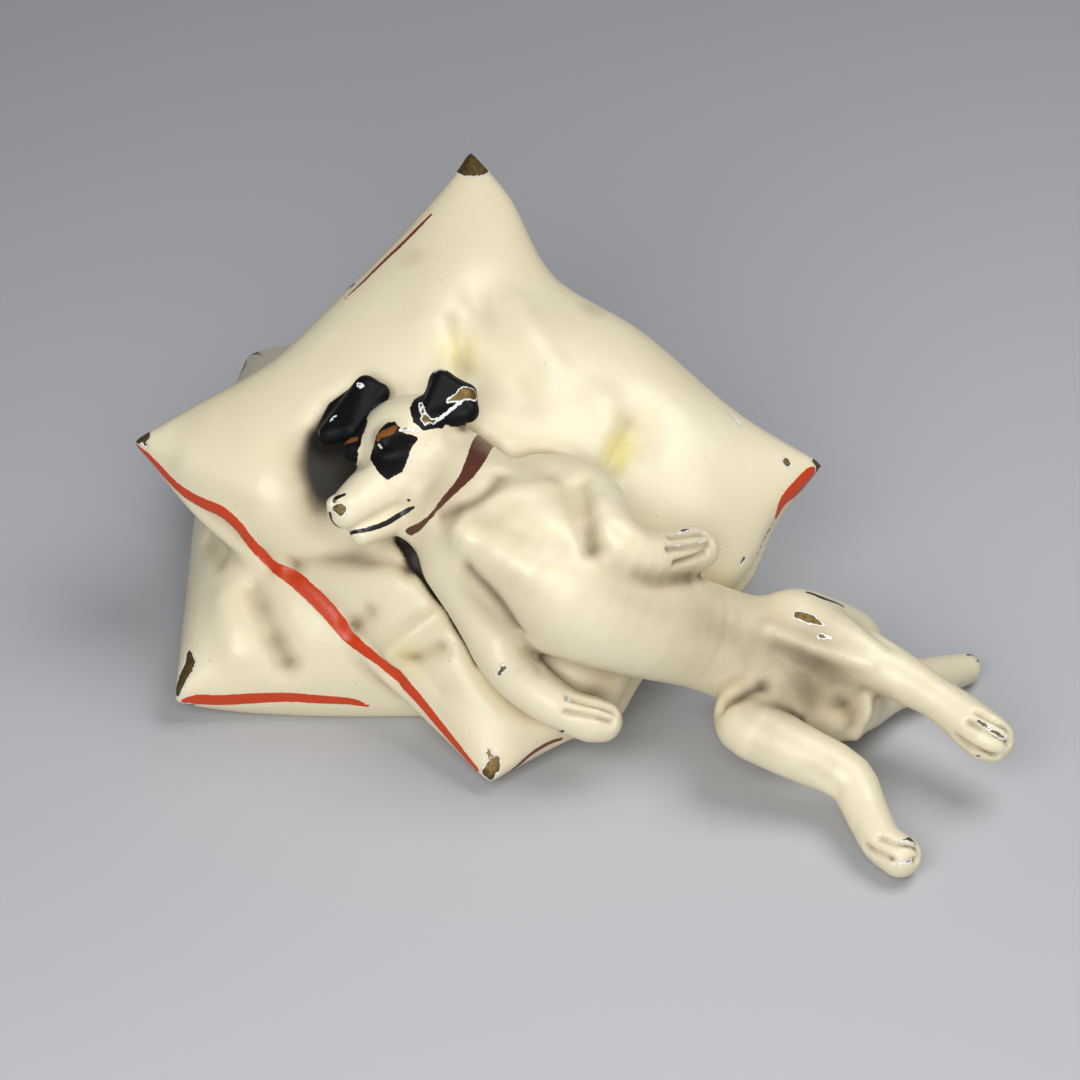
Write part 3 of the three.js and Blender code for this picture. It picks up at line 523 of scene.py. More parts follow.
def smooth_path(sections, steps):
    """Points of a smooth curve through the sections; a fourth number runs straight between them."""
    s = np.array(sections, float)
    p = np.vstack([2 * s[:1] - s[1:2], s, 2 * s[-1:] - s[-2:-1]])
    gaps = np.linalg.norm(np.diff(p[:, :3], axis=0), axis=1) ** 0.5
    out = []
    for i in range(1, len(p) - 2):
        before, here, after = gaps[i - 1], gaps[i], gaps[i + 1]
        lead = ((p[i] - p[i - 1]) / before - (p[i + 1] - p[i - 1]) / (before + here)
                + (p[i + 1] - p[i]) / here) * here
        tail = ((p[i + 1] - p[i]) / here - (p[i + 2] - p[i]) / (here + after)
                + (p[i + 2] - p[i + 1]) / after) * here
        for t in np.arange(steps) / steps:
            q = (p[i] + lead * t + (-3 * p[i] + 3 * p[i + 1] - 2 * lead - tail) * t ** 2
                 + (2 * p[i] - 2 * p[i + 1] + lead + tail) * t ** 3)
            if s.shape[1] > 3:
                q[3] = p[i][3] + (p[i + 1][3] - p[i][3]) * t
            out.append(q)
    out.append(p[-2])
    return np.array(out)


TRUNK_PATH = smooth_path(TRUNK, TRUNK_STEPS)
LIMB_PATHS = [(smooth_path(sections, LIMB_STEPS), soft) for sections, soft in LIMBS]


def limb(p, path):
    """Distance to a limb; points well outside its box are only called far off."""
    low = (path[:, :3] - path[:, 3:]).min(axis=0) - LIMB_REACH
    high = (path[:, :3] + path[:, 3:]).max(axis=0) + LIMB_REACH
    near = np.all((p > low) & (p < high), axis=1)
    d = np.full(len(p), FAR_OFF)
    q = p[near]
    best = np.full(len(q), FAR_OFF)
    for a, b in zip(path[:-1], path[1:]):
        best = np.minimum(best, bar(q, a, b))
    d[near] = best
    return d


def ear(q, leaves):
    d = leaf(q, *leaves[0])
    for shape in leaves[1:]:
        d = blend(d, leaf(q, *shape), EAR_SOFTNESS)
    return d


def head(q):
    d = np.full(len(q), FAR_OFF)
    for kind, sizes, soft in HEAD_FORMS:
        form = ball(q, *sizes) if kind == "ball" else bar(q, *sizes)
        d = blend(d, form, soft)
    return d


def dog(p):
    """Distance from the dog's skin, negative inside it."""
    q = (p - SKULL_CENTRE) @ HEAD_WAYS
    d = blend(limb(p, TRUNK_PATH), head(q), NECK_SOFTNESS)
    for leaves in EAR_LEAVES:
        d = blend(d, ear(q, leaves), EAR_SOFTNESS)
    for path, soft in LIMB_PATHS:
        d = blend(d, limb(p, path), soft)
    return d


def slope(distance, p):
    """Direction in which a distance grows, from four points round each one."""
    corners = np.array([(1, 1, 1), (1, -1, -1), (-1, 1, -1), (-1, -1, 1)], float)
    return sum(c * distance(p + c * FEELER)[:, None] for c in corners) / (len(corners) * FEELER)


def settle(p, distance, rounds):
    """Points moved on to the surface where the distance is zero."""
    for _ in range(rounds):
        d = distance(p)
        g = slope(distance, p)
        size2 = np.maximum((g * g).sum(axis=1), LEAST_SLOPE)
        move = np.clip(d / size2, -LONGEST_MOVE, LONGEST_MOVE)
        p = p - g * move[:, None]
    return p


def get_points(mesh):
    co = np.empty(len(mesh.vertices) * 3)
    mesh.vertices.foreach_get("co", co)
    return co.reshape(-1, 3) / MM


def set_points(mesh, p):
    mesh.vertices.foreach_set("co", (p * MM).ravel())
    mesh.update()


def mesh_of(bm, name):
    mesh = bpy.data.meshes.new(name)
    bm.to_mesh(mesh)
    bm.free()
    return mesh


def new_object(name, data):
    made = bpy.data.objects.new(name, data)
    bpy.context.scene.collection.objects.link(made)
    return made


def apply_modifiers(obj):
    bpy.context.view_layer.update()
    graph = bpy.context.evaluated_depsgraph_get()
    mesh = bpy.data.meshes.new_from_object(obj.evaluated_get(graph))
    obj.modifiers.clear()
    obj.data = mesh


def remesh(obj, cell):
    """One even closed skin round everything in the object."""
    even = obj.modifiers.new("even", "REMESH")
    even.mode = "VOXEL"
    even.voxel_size = cell * MM
    apply_modifiers(obj)


def line_distance(p, points):
    """Distance to a line of points less the half width that each may carry."""
    path = np.array(points, float)
    if path.shape[1] == 3:
        path = np.hstack([path, np.zeros((len(path), 1))])
    if len(path) > 2:
        path = smooth_path(path, LINE_STEPS)
    low, high = path[:, :3].min(axis=0) - LINE_REACH, path[:, :3].max(axis=0) + LINE_REACH
    near = np.all((p > low) & (p < high), axis=1)
    q = p[near]
    best = np.linalg.norm(q - path[0][:3], axis=1) - path[0][3]
    for a, b in zip(path[:-1], path[1:]):
        edge = b - a
        t = np.clip((q - a[:3]) @ edge[:3] / max(edge[:3] @ edge[:3], TINY), 0, 1)
        gap = np.linalg.norm(q - a[:3] - t[:, None] * edge[:3], axis=1)
        best = np.minimum(best, gap - a[3] - t * edge[3])
    d = np.full(len(p), FAR_OFF)
    d[near] = best
    return d


def nearest_line(p, node, lines):
    """Distance to the nearest of the lines drawn on a solid."""
    return np.min([line_distance(p, lay(node, points)) for points in lines], axis=0)


def patch_distance(p, corners, reach):
    """Signed distance to a flat outline, for points within reach of its plane."""
    c = np.array(corners, float)
    middle = c.mean(axis=0)
    normal = unit(sum(np.cross(a - middle, b - middle) for a, b in zip(c, np.roll(c, -1, axis=0))))
    first = unit(c[0] - middle - ((c[0] - middle) @ normal) * normal)
    ways = np.stack([first, np.cross(normal, first)], axis=1)
    q, flat = (p - middle) @ ways, (c - middle) @ ways
    best = np.full(len(p), FAR_OFF)
    inside = np.zeros(len(p), bool)
    for a, b in zip(flat, np.roll(flat, -1, axis=0)):
        edge = b - a
        t = np.clip((q - a) @ edge / (edge @ edge), 0, 1)
        best = np.minimum(best, np.linalg.norm(q - a - t[:, None] * edge, axis=1))
        crosses = (a[1] > q[:, 1]) != (b[1] > q[:, 1])
        rise = edge[1] if edge[1] else TINY
        inside ^= crosses & (q[:, 0] < a[0] + (q[:, 1] - a[1]) * edge[0] / rise)
    return np.maximum(np.where(inside, -best, best), np.abs((p - middle) @ normal) - reach)


def stroke(p, rise, width, points):
    """How far the surface rises under a soft stroke of a modelling tool."""
    return rise * np.exp(-(np.maximum(line_distance(p, points), 0) / width) ** 2)


def strokes_on(p, node, strokes):
    """The rise from all the strokes drawn on a solid."""
    return sum(stroke(p, rise, width, lay(node, points)) for rise, width, points in strokes)


def spots(p, node, places):
    """Soft spots added up; each fades from its centre over its reach."""
    total = np.zeros(len(p))
    for x, y, z, reach, strength in lay(node, places):
        total += strength * np.exp(-((p - (x, y, z)) ** 2).sum(axis=1) / reach ** 2)
    return total


def get_edges(mesh):
    pairs = np.empty(len(mesh.edges) * 2, int)
    mesh.edges.foreach_get("vertices", pairs)
    return pairs.reshape(-1, 2)


def get_normals(mesh):
    n = np.empty(len(mesh.vertices) * 3)
    mesh.vertex_normals.foreach_get("vector", n)
    return n.reshape(-1, 3)


def even_out(values, pairs, rounds):
    """Each value moved halfway to the mean of its neighbours, round after round."""
    count = np.bincount(pairs.ravel(), minlength=len(values)).astype(float)
    columns = values.reshape(len(values), -1)
    for _ in range(rounds):
        total = np.stack([
            np.bincount(pairs[:, 0], columns[pairs[:, 1], i], len(values))
            + np.bincount(pairs[:, 1], columns[pairs[:, 0], i], len(values))
            for i in range(columns.shape[1])], axis=1)
        columns = (columns + total / count[:, None]) / 2
    return columns.reshape(values.shape)


def hollowness(mesh, rounds):
    """Above zero in hollows and below it on ridges, in millimetres of dip over a small patch."""
    p, pairs = get_points(mesh), get_edges(mesh)
    dip = ((even_out(p, pairs, rounds) - p) * get_normals(mesh)).sum(axis=1)
    return even_out(dip, pairs, DIP_ROUNDS)


def set_attribute(mesh, name, values):
    layer = mesh.attributes.new(name, "FLOAT", "POINT")
    layer.data.foreach_set("value", np.asarray(values, np.float32))


def merged_copy(node, name):
    """A copy of a solid whose loose triangles are joined; the solid itself stays as it is."""
    bm = bmesh.new()
    bm.from_mesh(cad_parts[node].data)
    bmesh.ops.remove_doubles(bm, verts=bm.verts[:], dist=WELD * MM)
    return new_object(name, mesh_of(bm, name))


def build_dog():
    """The dog's skin: even faces settled on the form, with the low relief pushed into them."""
    piece = merged_copy("terrier", "terrier_paint")
    remesh(piece, DOG_CELL)
    set_points(piece.data, settle(get_points(piece.data), dog, FIRST_ROUNDS))
    refine_face(piece.data)
    p = settle(get_points(piece.data), dog, LAST_ROUNDS)
    ways = slope(dog, p)
    ways /= np.linalg.norm(ways, axis=1)[:, None]
    q = (p - SKULL_CENTRE) @ HEAD_WAYS
    rise = strokes_on(p, "terrier", DOG_STROKES)
    rise += strokes_on(p, "terrier", [(-TOE_DEPTH, TOE_WIDTH, groove) for groove in TOE_GROOVES])
    for height, width, points in HEAD_STROKES:
        rise += stroke(q, height, width, points)
        off_middle = points[0][1]
        if off_middle:
            rise += stroke(q * (1, -1, 1), height, width, points)
    set_points(piece.data, p + ways * rise[:, None])
    piece.data.shade_smooth()
    return piece


def refine_face(mesh):
    """Smaller faces round the eyes, nose and mouth, where the painting is finest."""
    q = (get_points(mesh) - SKULL_CENTRE) @ HEAD_WAYS
    near = np.linalg.norm(q - FACE_MIDDLE, axis=1) < FACE_REACH
    bm = bmesh.new()
    bm.from_mesh(mesh)
    bm.verts.ensure_lookup_table()
    edges = [e for e in bm.edges if near[e.verts[0].index] and near[e.verts[1].index]]
    bmesh.ops.subdivide_edges(bm, edges=edges, cuts=1, use_grid_fill=True)
    bm.to_mesh(mesh)
    bm.free()


def paint_dog(mesh, cushions):
    """Where each colour lies, as distances in millimetres that are negative inside it."""
    p = get_points(mesh)
    q = (p - SKULL_CENTRE) @ HEAD_WAYS
    far_corners = [EYE + sight(x, y) * FAR_PATCH_DISTANCE for x, y in FAR_PATCH]
    black = patch_distance(p, far_corners, FAR_PATCH_REACH)
    for corners in BLACK_PATCHES:
        black = np.minimum(black, patch_distance(p, lay("terrier", corners), PATCH_REACH))
    for leaves in EAR_LEAVES:
        black = np.minimum(black, ear(q, leaves) - EAR_PAINT)
    set_attribute(mesh, "black", black)
    set_attribute(mesh, "line", nearest_line(p, "terrier", DOG_DARK_MARKS))
    set_attribute(mesh, "brow", nearest_line(p, "terrier", BROWS))
    set_attribute(mesh, "collar", collar_distance(p))
    set_attribute(mesh, "chip", nearest_line(p, "terrier", DOG_CHIPS))
    # Where no cushion is within reach, the gap counts as a metre.
    tree = mesh_tree(cushions)
    gap = np.array([tree.find_nearest(v.co, CONTACT_SEARCH)[3] or 1 for v in mesh.vertices])
    # Dirt and painted shade: soft spots, darkening in hollows and where the cushions touch, and the
    # toe grooves.
    dirt_and_shade = spots(p, "terrier", DOG_DIRT_AND_SHADE)
    dirt_and_shade += HOLLOW_DIRT_AND_SHADE * hollowness(mesh, HOLLOW_ROUNDS)
    dirt_and_shade += DOG_CONTACT_SHADE_AND_DIRT * np.exp(-(gap / MM / CONTACT_REACH) ** 2)
    dirt_and_shade += strokes_on(p, "terrier", [(TOE_DIRT, TOE_WIDTH, groove) for groove in TOE_GROOVES])
    set_attribute(mesh, "dirt_and_shade", np.clip(dirt_and_shade, 0, DOG_MOST_DIRT_AND_SHADE))


def collar_distance(p):
    """The band runs round the neck in the plane of its painted edge."""
    path = np.array(lay("terrier", COLLAR))
    middle = path[:, :3].mean(axis=0)
    across = np.linalg.svd(path[:, :3] - middle)[2][2]
    t = np.argmin(np.linalg.norm(p[:, None, :] - path[None, :, :3], axis=2), axis=1)
    around = np.linalg.norm(p - COLLAR_MIDDLE, axis=1)
    band = np.maximum(np.abs((p - middle) @ across) - path[t, 3], around - COLLAR_REACH)
    drawn = line_distance(p, path)
    return np.minimum(drawn, np.maximum(band, COLLAR_SHOWN - drawn))


def paint_cushions(mesh):
    """The same for the cushions' seams, chips, yellowed places, and dirt with painted shade."""
    p = get_points(mesh)
    front = line_distance(p, steady(lay("cushions", FRONT_SEAM)))
    red = np.minimum(nearest_line(p, "cushions", RED_SEAMS), seam_line(p, "left"))
    maroon = np.minimum(nearest_line(p, "cushions", MAROON_SEAMS), seam_line(p, "back"))
    set_attribute(mesh, "red", np.minimum(front, red))
    set_attribute(mesh, "maroon", maroon)
    set_attribute(mesh, "chip", nearest_line(p, "cushions", CUSHION_CHIPS))
    set_attribute(mesh, "yellow", np.clip(spots(p, "cushions", YELLOWED), 0, 1))
    # Dirt and painted shadow: soft spots, darkening in hollows and next to the dog, and the near-side
    # gap.
    dirt_and_shade = spots(p, "cushions", CUSHION_DIRT_AND_SHADE)
    dirt_and_shade += HOLLOW_DIRT_AND_SHADE * hollowness(mesh, HOLLOW_ROUNDS)
    dirt_and_shade += CUSHION_CONTACT_SHADE_AND_DIRT * np.exp(-(np.maximum(dog(p), 0) / CONTACT_REACH) ** 2)
    dirt_and_shade += strokes_on(p, "cushions", [(GAP_SHADOW_AND_SOOT, GAP_WIDTH, gap) for gap in DARK_GAPS])
    set_attribute(mesh, "dirt_and_shade", np.clip(dirt_and_shade, 0, CUSHION_MOST_DIRT_AND_SHADE))


def seam_line(p, side):
    """Distance to the paint on one of the upper cushion's own seams."""
    path = smooth_path(UPPER_SEAM[side], SEAM_PAINT_STEPS)
    return line_distance(p, np.hstack([path, np.full((len(path), 1), SEAM_PAINT)]))


def seam_curve(points):
    """A seam as a curve whose share runs evenly from 0 to 1."""
    path = smooth_path(points, SEAM_STEPS)
    run = np.concatenate([[0], np.cumsum(np.linalg.norm(np.diff(path, axis=0), axis=1))])
    run /= run[-1]
    return lambda t: np.stack([np.interp(t, run, path[:, i]) for i in range(3)], axis=-1)


def make_sheet(seam):
    """The sheet stretched between four seams."""
    front, back, left, right = (seam_curve(seam[k]) for k in ("front", "back", "left", "right"))
    ends = [front(np.array(0.0)), front(np.array(1.0)), back(np.array(0.0)), back(np.array(1.0))]

    def sheet(u, v):
        u, v = np.broadcast_arrays(np.asarray(u, float), np.asarray(v, float))
        s, t = u[..., None], v[..., None]
        across = front(u) * (1 - t) + back(u) * t
        along = left(v) * (1 - s) + right(v) * s
        plain = (ends[0] * (1 - s) + ends[1] * s) * (1 - t) + (ends[2] * (1 - s) + ends[3] * s) * t
        return across + along - plain
    return sheet


def cushion_shell(seam, rise, puffs, hangs):
    """A closed cushion: two swollen faces that meet in one thick seam."""
    bm = bmesh.new()
    bmesh.ops.create_grid(bm, x_segments=CELLS_PER_SIDE, y_segments=CELLS_PER_SIDE, size=1)
    copied = bmesh.ops.duplicate(bm, geom=bm.verts[:] + bm.edges[:] + bm.faces[:])["geom"]
    back = [g for g in copied if isinstance(g, bmesh.types.BMVert)]
    bmesh.ops.reverse_faces(bm, faces=[g for g in copied if isinstance(g, bmesh.types.BMFace)])
    bmesh.ops.translate(bm, verts=back, vec=(0, 0, -1))
    rim = [e for e in bm.edges if e.is_boundary]
    bmesh.ops.bridge_loops(bm, edges=rim)
    bmesh.ops.recalc_face_normals(bm, faces=bm.faces[:])
    # The grid runs from -1 to 1 and the back's copy lies at -1; faces crowd towards the seams.
    flat = np.array([v.co for v in bm.verts])
    u = (1 - np.cos(math.pi * (flat[:, 0] + 1) / 2)) / 2
    v = (1 - np.cos(math.pi * (flat[:, 1] + 1) / 2)) / 2
    face = flat[:, 2] > -0.5
    sheet = make_sheet(seam)
    up = unit(np.cross(sheet(1, 0) - sheet(0, 1), sheet(1, 1) - sheet(0, 0)))
    inward = unit(sheet(0.5, 1) - sheet(0.5, 0))
    rightward = unit(sheet(1, 0.5) - sheet(0, 0.5))
    swell = (16 * u * (1 - u) * v * (1 - v)) ** FULLNESS
    puff = sum(r * np.exp(-((u - pu) / ru) ** 2 - ((v - pv) / rv) ** 2) for pu, pv, ru, rv, r in puffs)
    height = np.where(face, rise[0] + puff, rise[1])
    lift = np.where(face, 1, -1) * (SEAM_HALF_HEIGHT + height * swell)
    p = sheet(u, v) + up * lift[:, None]

    def hang(t, other):
        return np.exp(-((t - SAG_PLACE) / SAG_REACH) ** 2) * np.sin(math.pi * other) * ~face
    if hangs:
        p += (SAG_RIGHT * hang(1 - u, v))[:, None] * rightward
        p -= (SAG_FRONT * hang(v, u))[:, None] * inward
    return mesh_of(bm, "cushion"), p, up


def build_cushions(dog_piece):
    """Both cushions under one skin, with the dog's bed cut into it and the folds pushed in."""
    shells = []
    for seam, rise, puffs in ((UPPER_SEAM, UPPER_RISE, PUFFS), (LOWER_SEAM, LOWER_RISE, [])):
        upper = seam is UPPER_SEAM
        mesh, p, up = cushion_shell(seam, rise, puffs, upper)
        if upper:
            p -= up * (DENT_SHARE * np.maximum(0, DENT_REACH - dog(p)))[:, None]
        p[:, 2] = np.maximum(p[:, 2], 0)
        set_points(mesh, p)
        shells.append(mesh)
    bm = bmesh.new()
    for mesh in shells:
        bm.from_mesh(mesh)
    piece = new_object("cushions_paint", mesh_of(bm, "cushions_paint"))
    remesh(piece, CUSHION_CELL)
    tool = dog_piece.data.copy()
    set_points(tool, get_points(tool) + get_normals(tool) * BED_GAP)
    bed = new_object("bed", tool)
    cut = piece.modifiers.new("bed", "BOOLEAN")
    cut.operation = "DIFFERENCE"
    cut.object = bed
    cut.solver = "FAST"
    apply_modifiers(piece)
    bpy.data.objects.remove(bed)
    remesh(piece, CUSHION_CELL)
    p = even_out(get_points(piece.data), get_edges(piece.data), SKIN_ROUNDS)
    set_points(piece.data, p)
    rise = strokes_on(p, "cushions", CUSHION_STROKES)
    rise += strokes_on(p, "cushions", [(-GAP_DEPTH, GAP_WIDTH, gap) for gap in DARK_GAPS])
    rise += stroke(p, WELT_RISE, WELT_WIDTH, steady(lay("cushions", FRONT_SEAM))[:, :3])
    set_points(piece.data, p + get_normals(piece.data) * rise[:, None])
    piece.data.shade_smooth()
    return piece


def keep_in_box(piece, node):
    """Nothing reaches past the solid that the piece stands for."""
    low, high = (np.array(c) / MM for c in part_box(node))
    set_points(piece.data, np.clip(get_points(piece.data), low, high))


def hex_colour(code):
    """An sRGB hex colour as the linear numbers a shader takes."""
    srgb = [int(code[i:i + 2], 16) / 255 for i in (1, 3, 5)]
    linear = [c / 12.92 if c <= 0.04045 else ((c + 0.055) / 1.055) ** 2.4 for c in srgb]
    return (*linear, 1)


def add(tree, kind, inputs=None, **settings):
    """Adds a node with its settings; an input is a value or another node's output."""
    node = tree.nodes.new(kind)
    for name, value in settings.items():
        setattr(node, name, value)
    for name, value in (inputs or {}).items():
        if isinstance(value, bpy.types.NodeSocket):
            tree.links.new(value, node.inputs[name])
        else:
            node.inputs[name].default_value = value
    return node


def new_material(name):
    material = bpy.data.materials.new(name)
    material.use_nodes = True
    material.node_tree.nodes.clear()
    return material


# Noise in the paint: size of its blots in millimetres, detail and roughness.
NOISES = {
    "wide": (18, 2, 0.5), "mottle": (3.5, 3, 0.5), "fine": (0.7, 2, 0.5),
    "torn": (1.2, 4, 0.6), "jagged": (0.9, 4, 0.6),
}
# Which noise moves a brushed, a worn and a chipped edge, and by how many millimetres.
EDGES = {"brushed": ("fine", 0.30), "worn": ("torn", 0.8), "chipped": ("jagged", 0.9)}
BRUSH_SOFTNESS, CHIP_SOFTNESS = 0.05, 0.04
CHIP_RIM = 0.24
# Dirt and painted shade come in blots, as a thin film and, where thickest, as black soot and painted
# shadow.
BLOT_SHARE, BLOT_LEAST = 0.7, 0.65
DIRT_AND_SHADE_FILM = {"From Min": 0.05, "From Max": 1.1, "To Max": 0.75}
SOOT_AND_SHADOW_RANGE = {"From Min": 0.5, "From Max": 1.6, "To Max": 0.98}
# Specks: millimetres between them, the share left out, and the edge of one in such spaces.
SPECK_SPACE, SPECKS_LEFT_OUT = 2.2, 0.62
SPECK_EDGE = {"From Min": 0.075, "From Max": 0.04, "To Max": 0.5}
# Roughness of the paint from its mottle, what dirt adds to it, and that of the black and of a chip.
PAINT_ROUGHNESS = {"From Min": 0.3, "From Max": 0.7, "To Min": 0.30, "To Max": 0.42}
FILM_DULLS, BLACK_ROUGHNESS, CHIP_ROUGHNESS = 0.35, 0.5, 0.6
SHINE_TO_MATT = {"To Min": 0.5, "To Max": 0.15}
# Relief of the paint, in millimetres: brushed unevenness, grain and the step down into a chip.
UNEVENNESS, GRAIN, CHIP_STEP = 0.10, 0.012, -0.12
# Sockets of a Mix node: the factor, the two numbers and their result, the two colours and theirs.
MIX_BY, NUMBER_UNDER, NUMBER_OVER, MIXED_NUMBER = 0, 2, 3, 0
COLOUR_UNDER, COLOUR_OVER, MIXED_COLOUR = 6, 7, 2


def edge_of(tree, name, wobble, softness):
    """1 inside a painted mark, 0 outside it, with a slightly uneven hand-drawn edge."""
    mark = add(tree, "ShaderNodeAttribute", attribute_name=name)
    moved = add(tree, "ShaderNodeMath", {0: mark.outputs["Fac"], 1: wobble}, operation="ADD")
    return add(tree, "ShaderNodeMapRange", {
        "Value": moved.outputs["Value"], "From Min": softness, "From Max": -softness,
    }).outputs["Result"]


def cold_paint(name, marks, yellowed):
    """Old oil paint on cast bronze: cream enamel gone yellow, dirt and painted shade in its hollows,
    chips at its edges that show the white ground and, inside them, dull brown metal."""
    material = new_material(name)
    tree = material.node_tree
    place = add(tree, "ShaderNodeTexCoord").outputs["Object"]
    noise = {}
    for kind, (size, detail, rough) in NOISES.items():
        noise[kind] = add(tree, "ShaderNodeTexNoise", {
            "Vector": place, "Scale": 1 / (size * MM), "Detail": detail, "Roughness": rough,
        }).outputs["Fac"]
    wobble = {}
    for kind, (source, swing) in EDGES.items():
        wobble[kind] = add(tree, "ShaderNodeMath", {0: noise[source], 1: swing, 2: -swing / 2},
                           operation="MULTIPLY_ADD").outputs["Value"]

    # Each layer of colour is given with where it covers what lies under it.
    layers = [(noise["wide"], hex_colour(CREAM_YELLOWED))]
    if yellowed:
        yellow = add(tree, "ShaderNodeAttribute", attribute_name="yellow")
        layers.append((yellow.outputs["Fac"], hex_colour(VARNISH_YELLOW)))
    # Dirt and painted shade lie in the hollows in blots, darkest as painted shadow where the castings
    # meet.
    dirt_and_shade_amount = add(tree, "ShaderNodeAttribute", attribute_name="dirt_and_shade").outputs["Fac"]
    blots = add(tree, "ShaderNodeMath", {0: noise["mottle"], 1: BLOT_SHARE, 2: BLOT_LEAST},
                operation="MULTIPLY_ADD")
    blotched_dirt_and_shade = add(tree, "ShaderNodeMath", {0: dirt_and_shade_amount, 1: blots.outputs["Value"]}, operation="MULTIPLY")
    dirt_and_shade_film = add(tree, "ShaderNodeMapRange", {"Value": blotched_dirt_and_shade.outputs["Value"], **DIRT_AND_SHADE_FILM})
    soot_and_shadow = add(tree, "ShaderNodeMapRange", {"Value": dirt_and_shade_amount, **SOOT_AND_SHADOW_RANGE}, interpolation_type="SMOOTHSTEP")
    layers.append((dirt_and_shade_film.outputs["Result"], hex_colour(DIRT_AND_SHADE_BROWN)))
    layers.append((soot_and_shadow.outputs["Result"], hex_colour(SOOT_AND_SHADOW_BLACK)))
    black = None
    for mark, paint in marks.items():
        inside = edge_of(tree, mark, wobble["worn" if mark == "black" else "brushed"], BRUSH_SOFTNESS)
        black = inside if mark == "black" else black
        layers.append((inside, hex_colour(paint)))
    # Pinhead specks, about a quarter of a millimetre across.
    cells = add(tree, "ShaderNodeTexVoronoi", {"Vector": place, "Scale": 1 / (SPECK_SPACE * MM)})
    few = add(tree, "ShaderNodeMath", {0: cells.outputs["Color"], 1: SPECKS_LEFT_OUT},
              operation="GREATER_THAN")
    dot = add(tree, "ShaderNodeMapRange", {"Value": cells.outputs["Distance"], **SPECK_EDGE})
    speck = add(tree, "ShaderNodeMath", {0: few.outputs["Value"], 1: dot.outputs["Result"]},
                operation="MULTIPLY")
    layers.append((speck.outputs["Value"], hex_colour(SPECK)))
    # Chips: a rim of the white ground with bare metal inside it.
    ground = edge_of(tree, "chip", wobble["chipped"], CHIP_SOFTNESS)
    inner = add(tree, "ShaderNodeMath", {0: wobble["chipped"], 1: CHIP_RIM}, operation="ADD")
    metal = edge_of(tree, "chip", inner.outputs["Value"], CHIP_SOFTNESS)
    bronze = add(tree, "ShaderNodeMix", {
        MIX_BY: noise["fine"], COLOUR_UNDER: hex_colour(BRONZE_DARK), COLOUR_OVER: hex_colour(BRONZE),
    }, data_type="RGBA")
    layers.append((ground, hex_colour(GROUND_WHITE)))
    layers.append((metal, bronze.outputs[MIXED_COLOUR]))
    colour = hex_colour(CREAM)
    for cover, paint in layers:
        colour = add(tree, "ShaderNodeMix", {MIX_BY: cover, COLOUR_UNDER: colour, COLOUR_OVER: paint},
                     data_type="RGBA").outputs[MIXED_COLOUR]

    # The cream is glossy; the film of dirt and painted shade dulls it, and the black and the chips are
    # duller still.
    gloss = add(tree, "ShaderNodeMapRange", {"Value": noise["mottle"], **PAINT_ROUGHNESS})
    rough = add(tree, "ShaderNodeMath", {
        0: dirt_and_shade_film.outputs["Result"], 1: FILM_DULLS, 2: gloss.outputs["Result"],
    }, operation="MULTIPLY_ADD").outputs["Value"]
    for cover, dull in ((black, BLACK_ROUGHNESS), (ground, CHIP_ROUGHNESS)):
        if cover is not None:
            worn = add(tree, "ShaderNodeMix", {MIX_BY: cover, NUMBER_UNDER: rough, NUMBER_OVER: dull})
            rough = worn.outputs[MIXED_NUMBER]
    # The paint is thick and brushed on: soft unevenness, fine grain and a step down at each chip.
    relief = 0
    for source, height in ((noise["mottle"], UNEVENNESS), (noise["fine"], GRAIN), (ground, CHIP_STEP)):
        relief = add(tree, "ShaderNodeMath", {0: source, 1: height, 2: relief},
                     operation="MULTIPLY_ADD").outputs["Value"]
    bump = add(tree, "ShaderNodeBump", {"Height": relief, "Distance": MM})
    paint = add(tree, "ShaderNodeBsdfPrincipled", {
        "Base Color": colour, "Metallic": metal, "Roughness": rough, "Normal": bump.outputs["Normal"]})
    if black is not None:
        # The black is matt and hardly shines.
        shine = add(tree, "ShaderNodeMapRange", {"Value": black, **SHINE_TO_MATT})
        tree.links.new(shine.outputs["Result"], paint.inputs["Specular IOR Level"])
    add(tree, "ShaderNodeOutputMaterial", {"Surface": paint.outputs["BSDF"]})
    return material


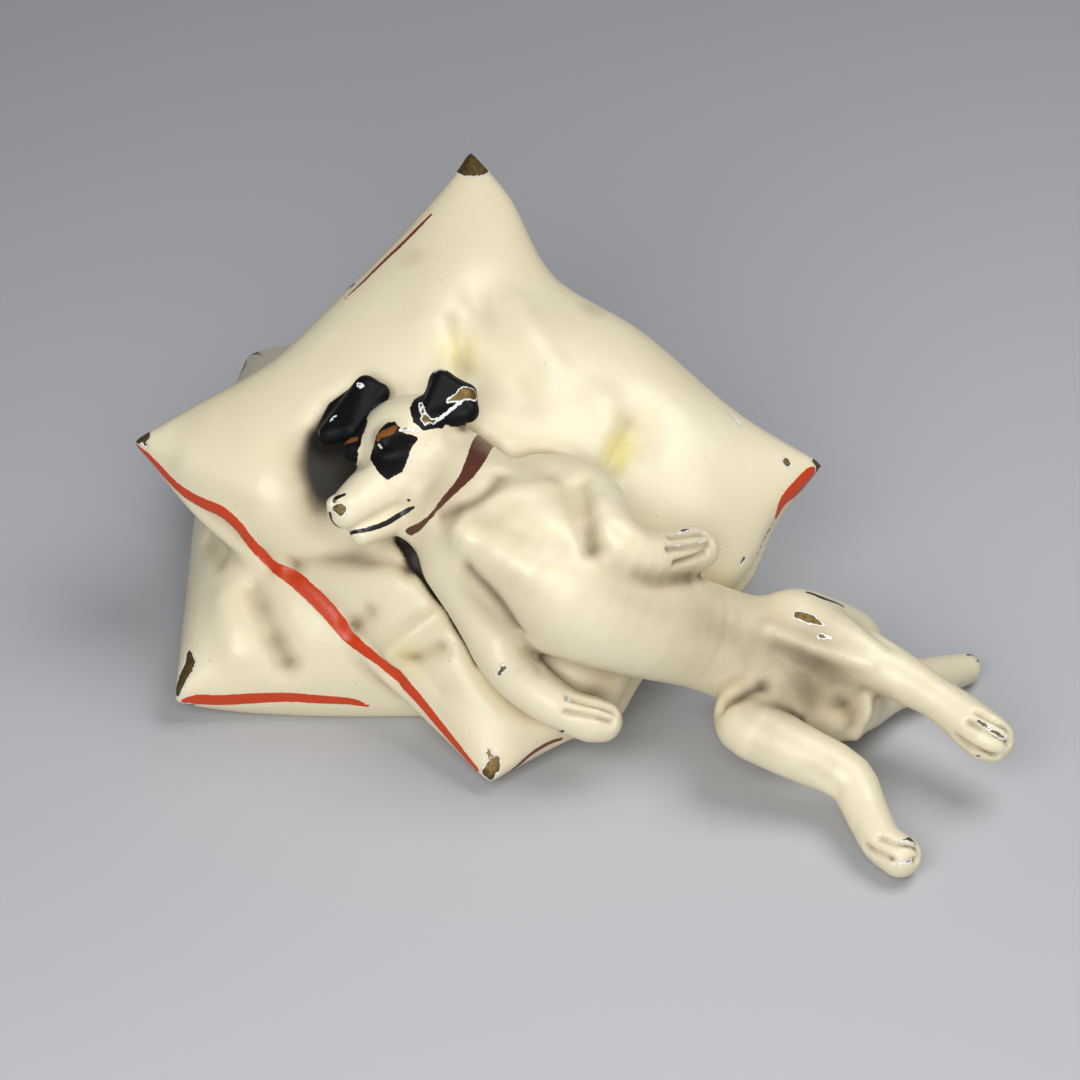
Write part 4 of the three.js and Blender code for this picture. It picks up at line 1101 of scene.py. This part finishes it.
# The two castings, each in place of its solid.
dog_piece = build_dog()
cushions_piece = build_cushions(dog_piece)
for piece, node, slot in ((dog_piece, "terrier", "painted_dog"),
                          (cushions_piece, "cushions", "painted_cushion")):
    keep_in_box(piece, node)
    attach(piece, "root")
    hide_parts(node)
paint_dog(dog_piece.data, cushions_piece.data)
paint_cushions(cushions_piece.data)
dog_piece.data.materials.append(cold_paint("cold_painted_bronze_dog", {
    "collar": COLLAR_BROWN, "black": BLACK, "line": BLACK, "brow": TAN}, yellowed=False))
cushions_piece.data.materials.append(cold_paint("cold_painted_bronze_cushions", {
    "maroon": MAROON, "red": ORANGE_RED}, yellowed=True))

# Floor, room and lamps, in metres.
FLOOR_HALF = 3
FLOOR_ROUGHNESS = 0.6
ROOM_STRENGTH = 0.26
# Lamps: place, width and power.
LAMPS = {
    "softbox_over": ((0.22, -0.03, 0.42), 0.30, 1.10),
    "fill_front": ((-0.06, -0.40, 0.28), 0.36, 1.75),
}


def aim(obj, place):
    """Puts a lamp or the camera in its place and turns it to the object."""
    obj.location = place
    obj.rotation_mode = "QUATERNION"
    obj.rotation_quaternion = (Vector(MIDDLE * MM) - Vector(place)).to_track_quat("-Z", "Y")


bm = bmesh.new()
bmesh.ops.create_grid(bm, x_segments=1, y_segments=1, size=FLOOR_HALF)
floor = new_object("floor", mesh_of(bm, "floor"))
# Pale paper, smooth but matt, so that shadows fall softly on it.
pale = new_material("pale_paper_floor")
paper = add(pale.node_tree, "ShaderNodeBsdfPrincipled", {
    "Base Color": hex_colour(FLOOR_GREY), "Roughness": FLOOR_ROUGHNESS})
add(pale.node_tree, "ShaderNodeOutputMaterial", {"Surface": paper.outputs["BSDF"]})
floor.data.materials.append(pale)

world = bpy.data.worlds.new("soft_room")
world.use_nodes = True
room = world.node_tree.nodes["Background"]
room.inputs["Color"].default_value = hex_colour(ROOM_GREY)
room.inputs["Strength"].default_value = ROOM_STRENGTH
bpy.context.scene.world = world
bpy.context.scene.view_settings.view_transform = "Standard"

for name, (place, width, power) in LAMPS.items():
    lamp_data = bpy.data.lights.new(name, "AREA")
    lamp_data.shape = "DISK"
    lamp_data.size = width
    lamp_data.energy = power
    aim(new_object(name, lamp_data), place)

# The photo's camera.
SENSOR = 36
camera_data = bpy.data.cameras.new("camera")
camera_data.sensor_width = SENSOR
camera_data.lens = FOCAL_PIXELS * SENSOR / PHOTO_PIXELS
camera = new_object("camera", camera_data)
aim(camera, EYE * MM)
bpy.context.scene.camera = camera
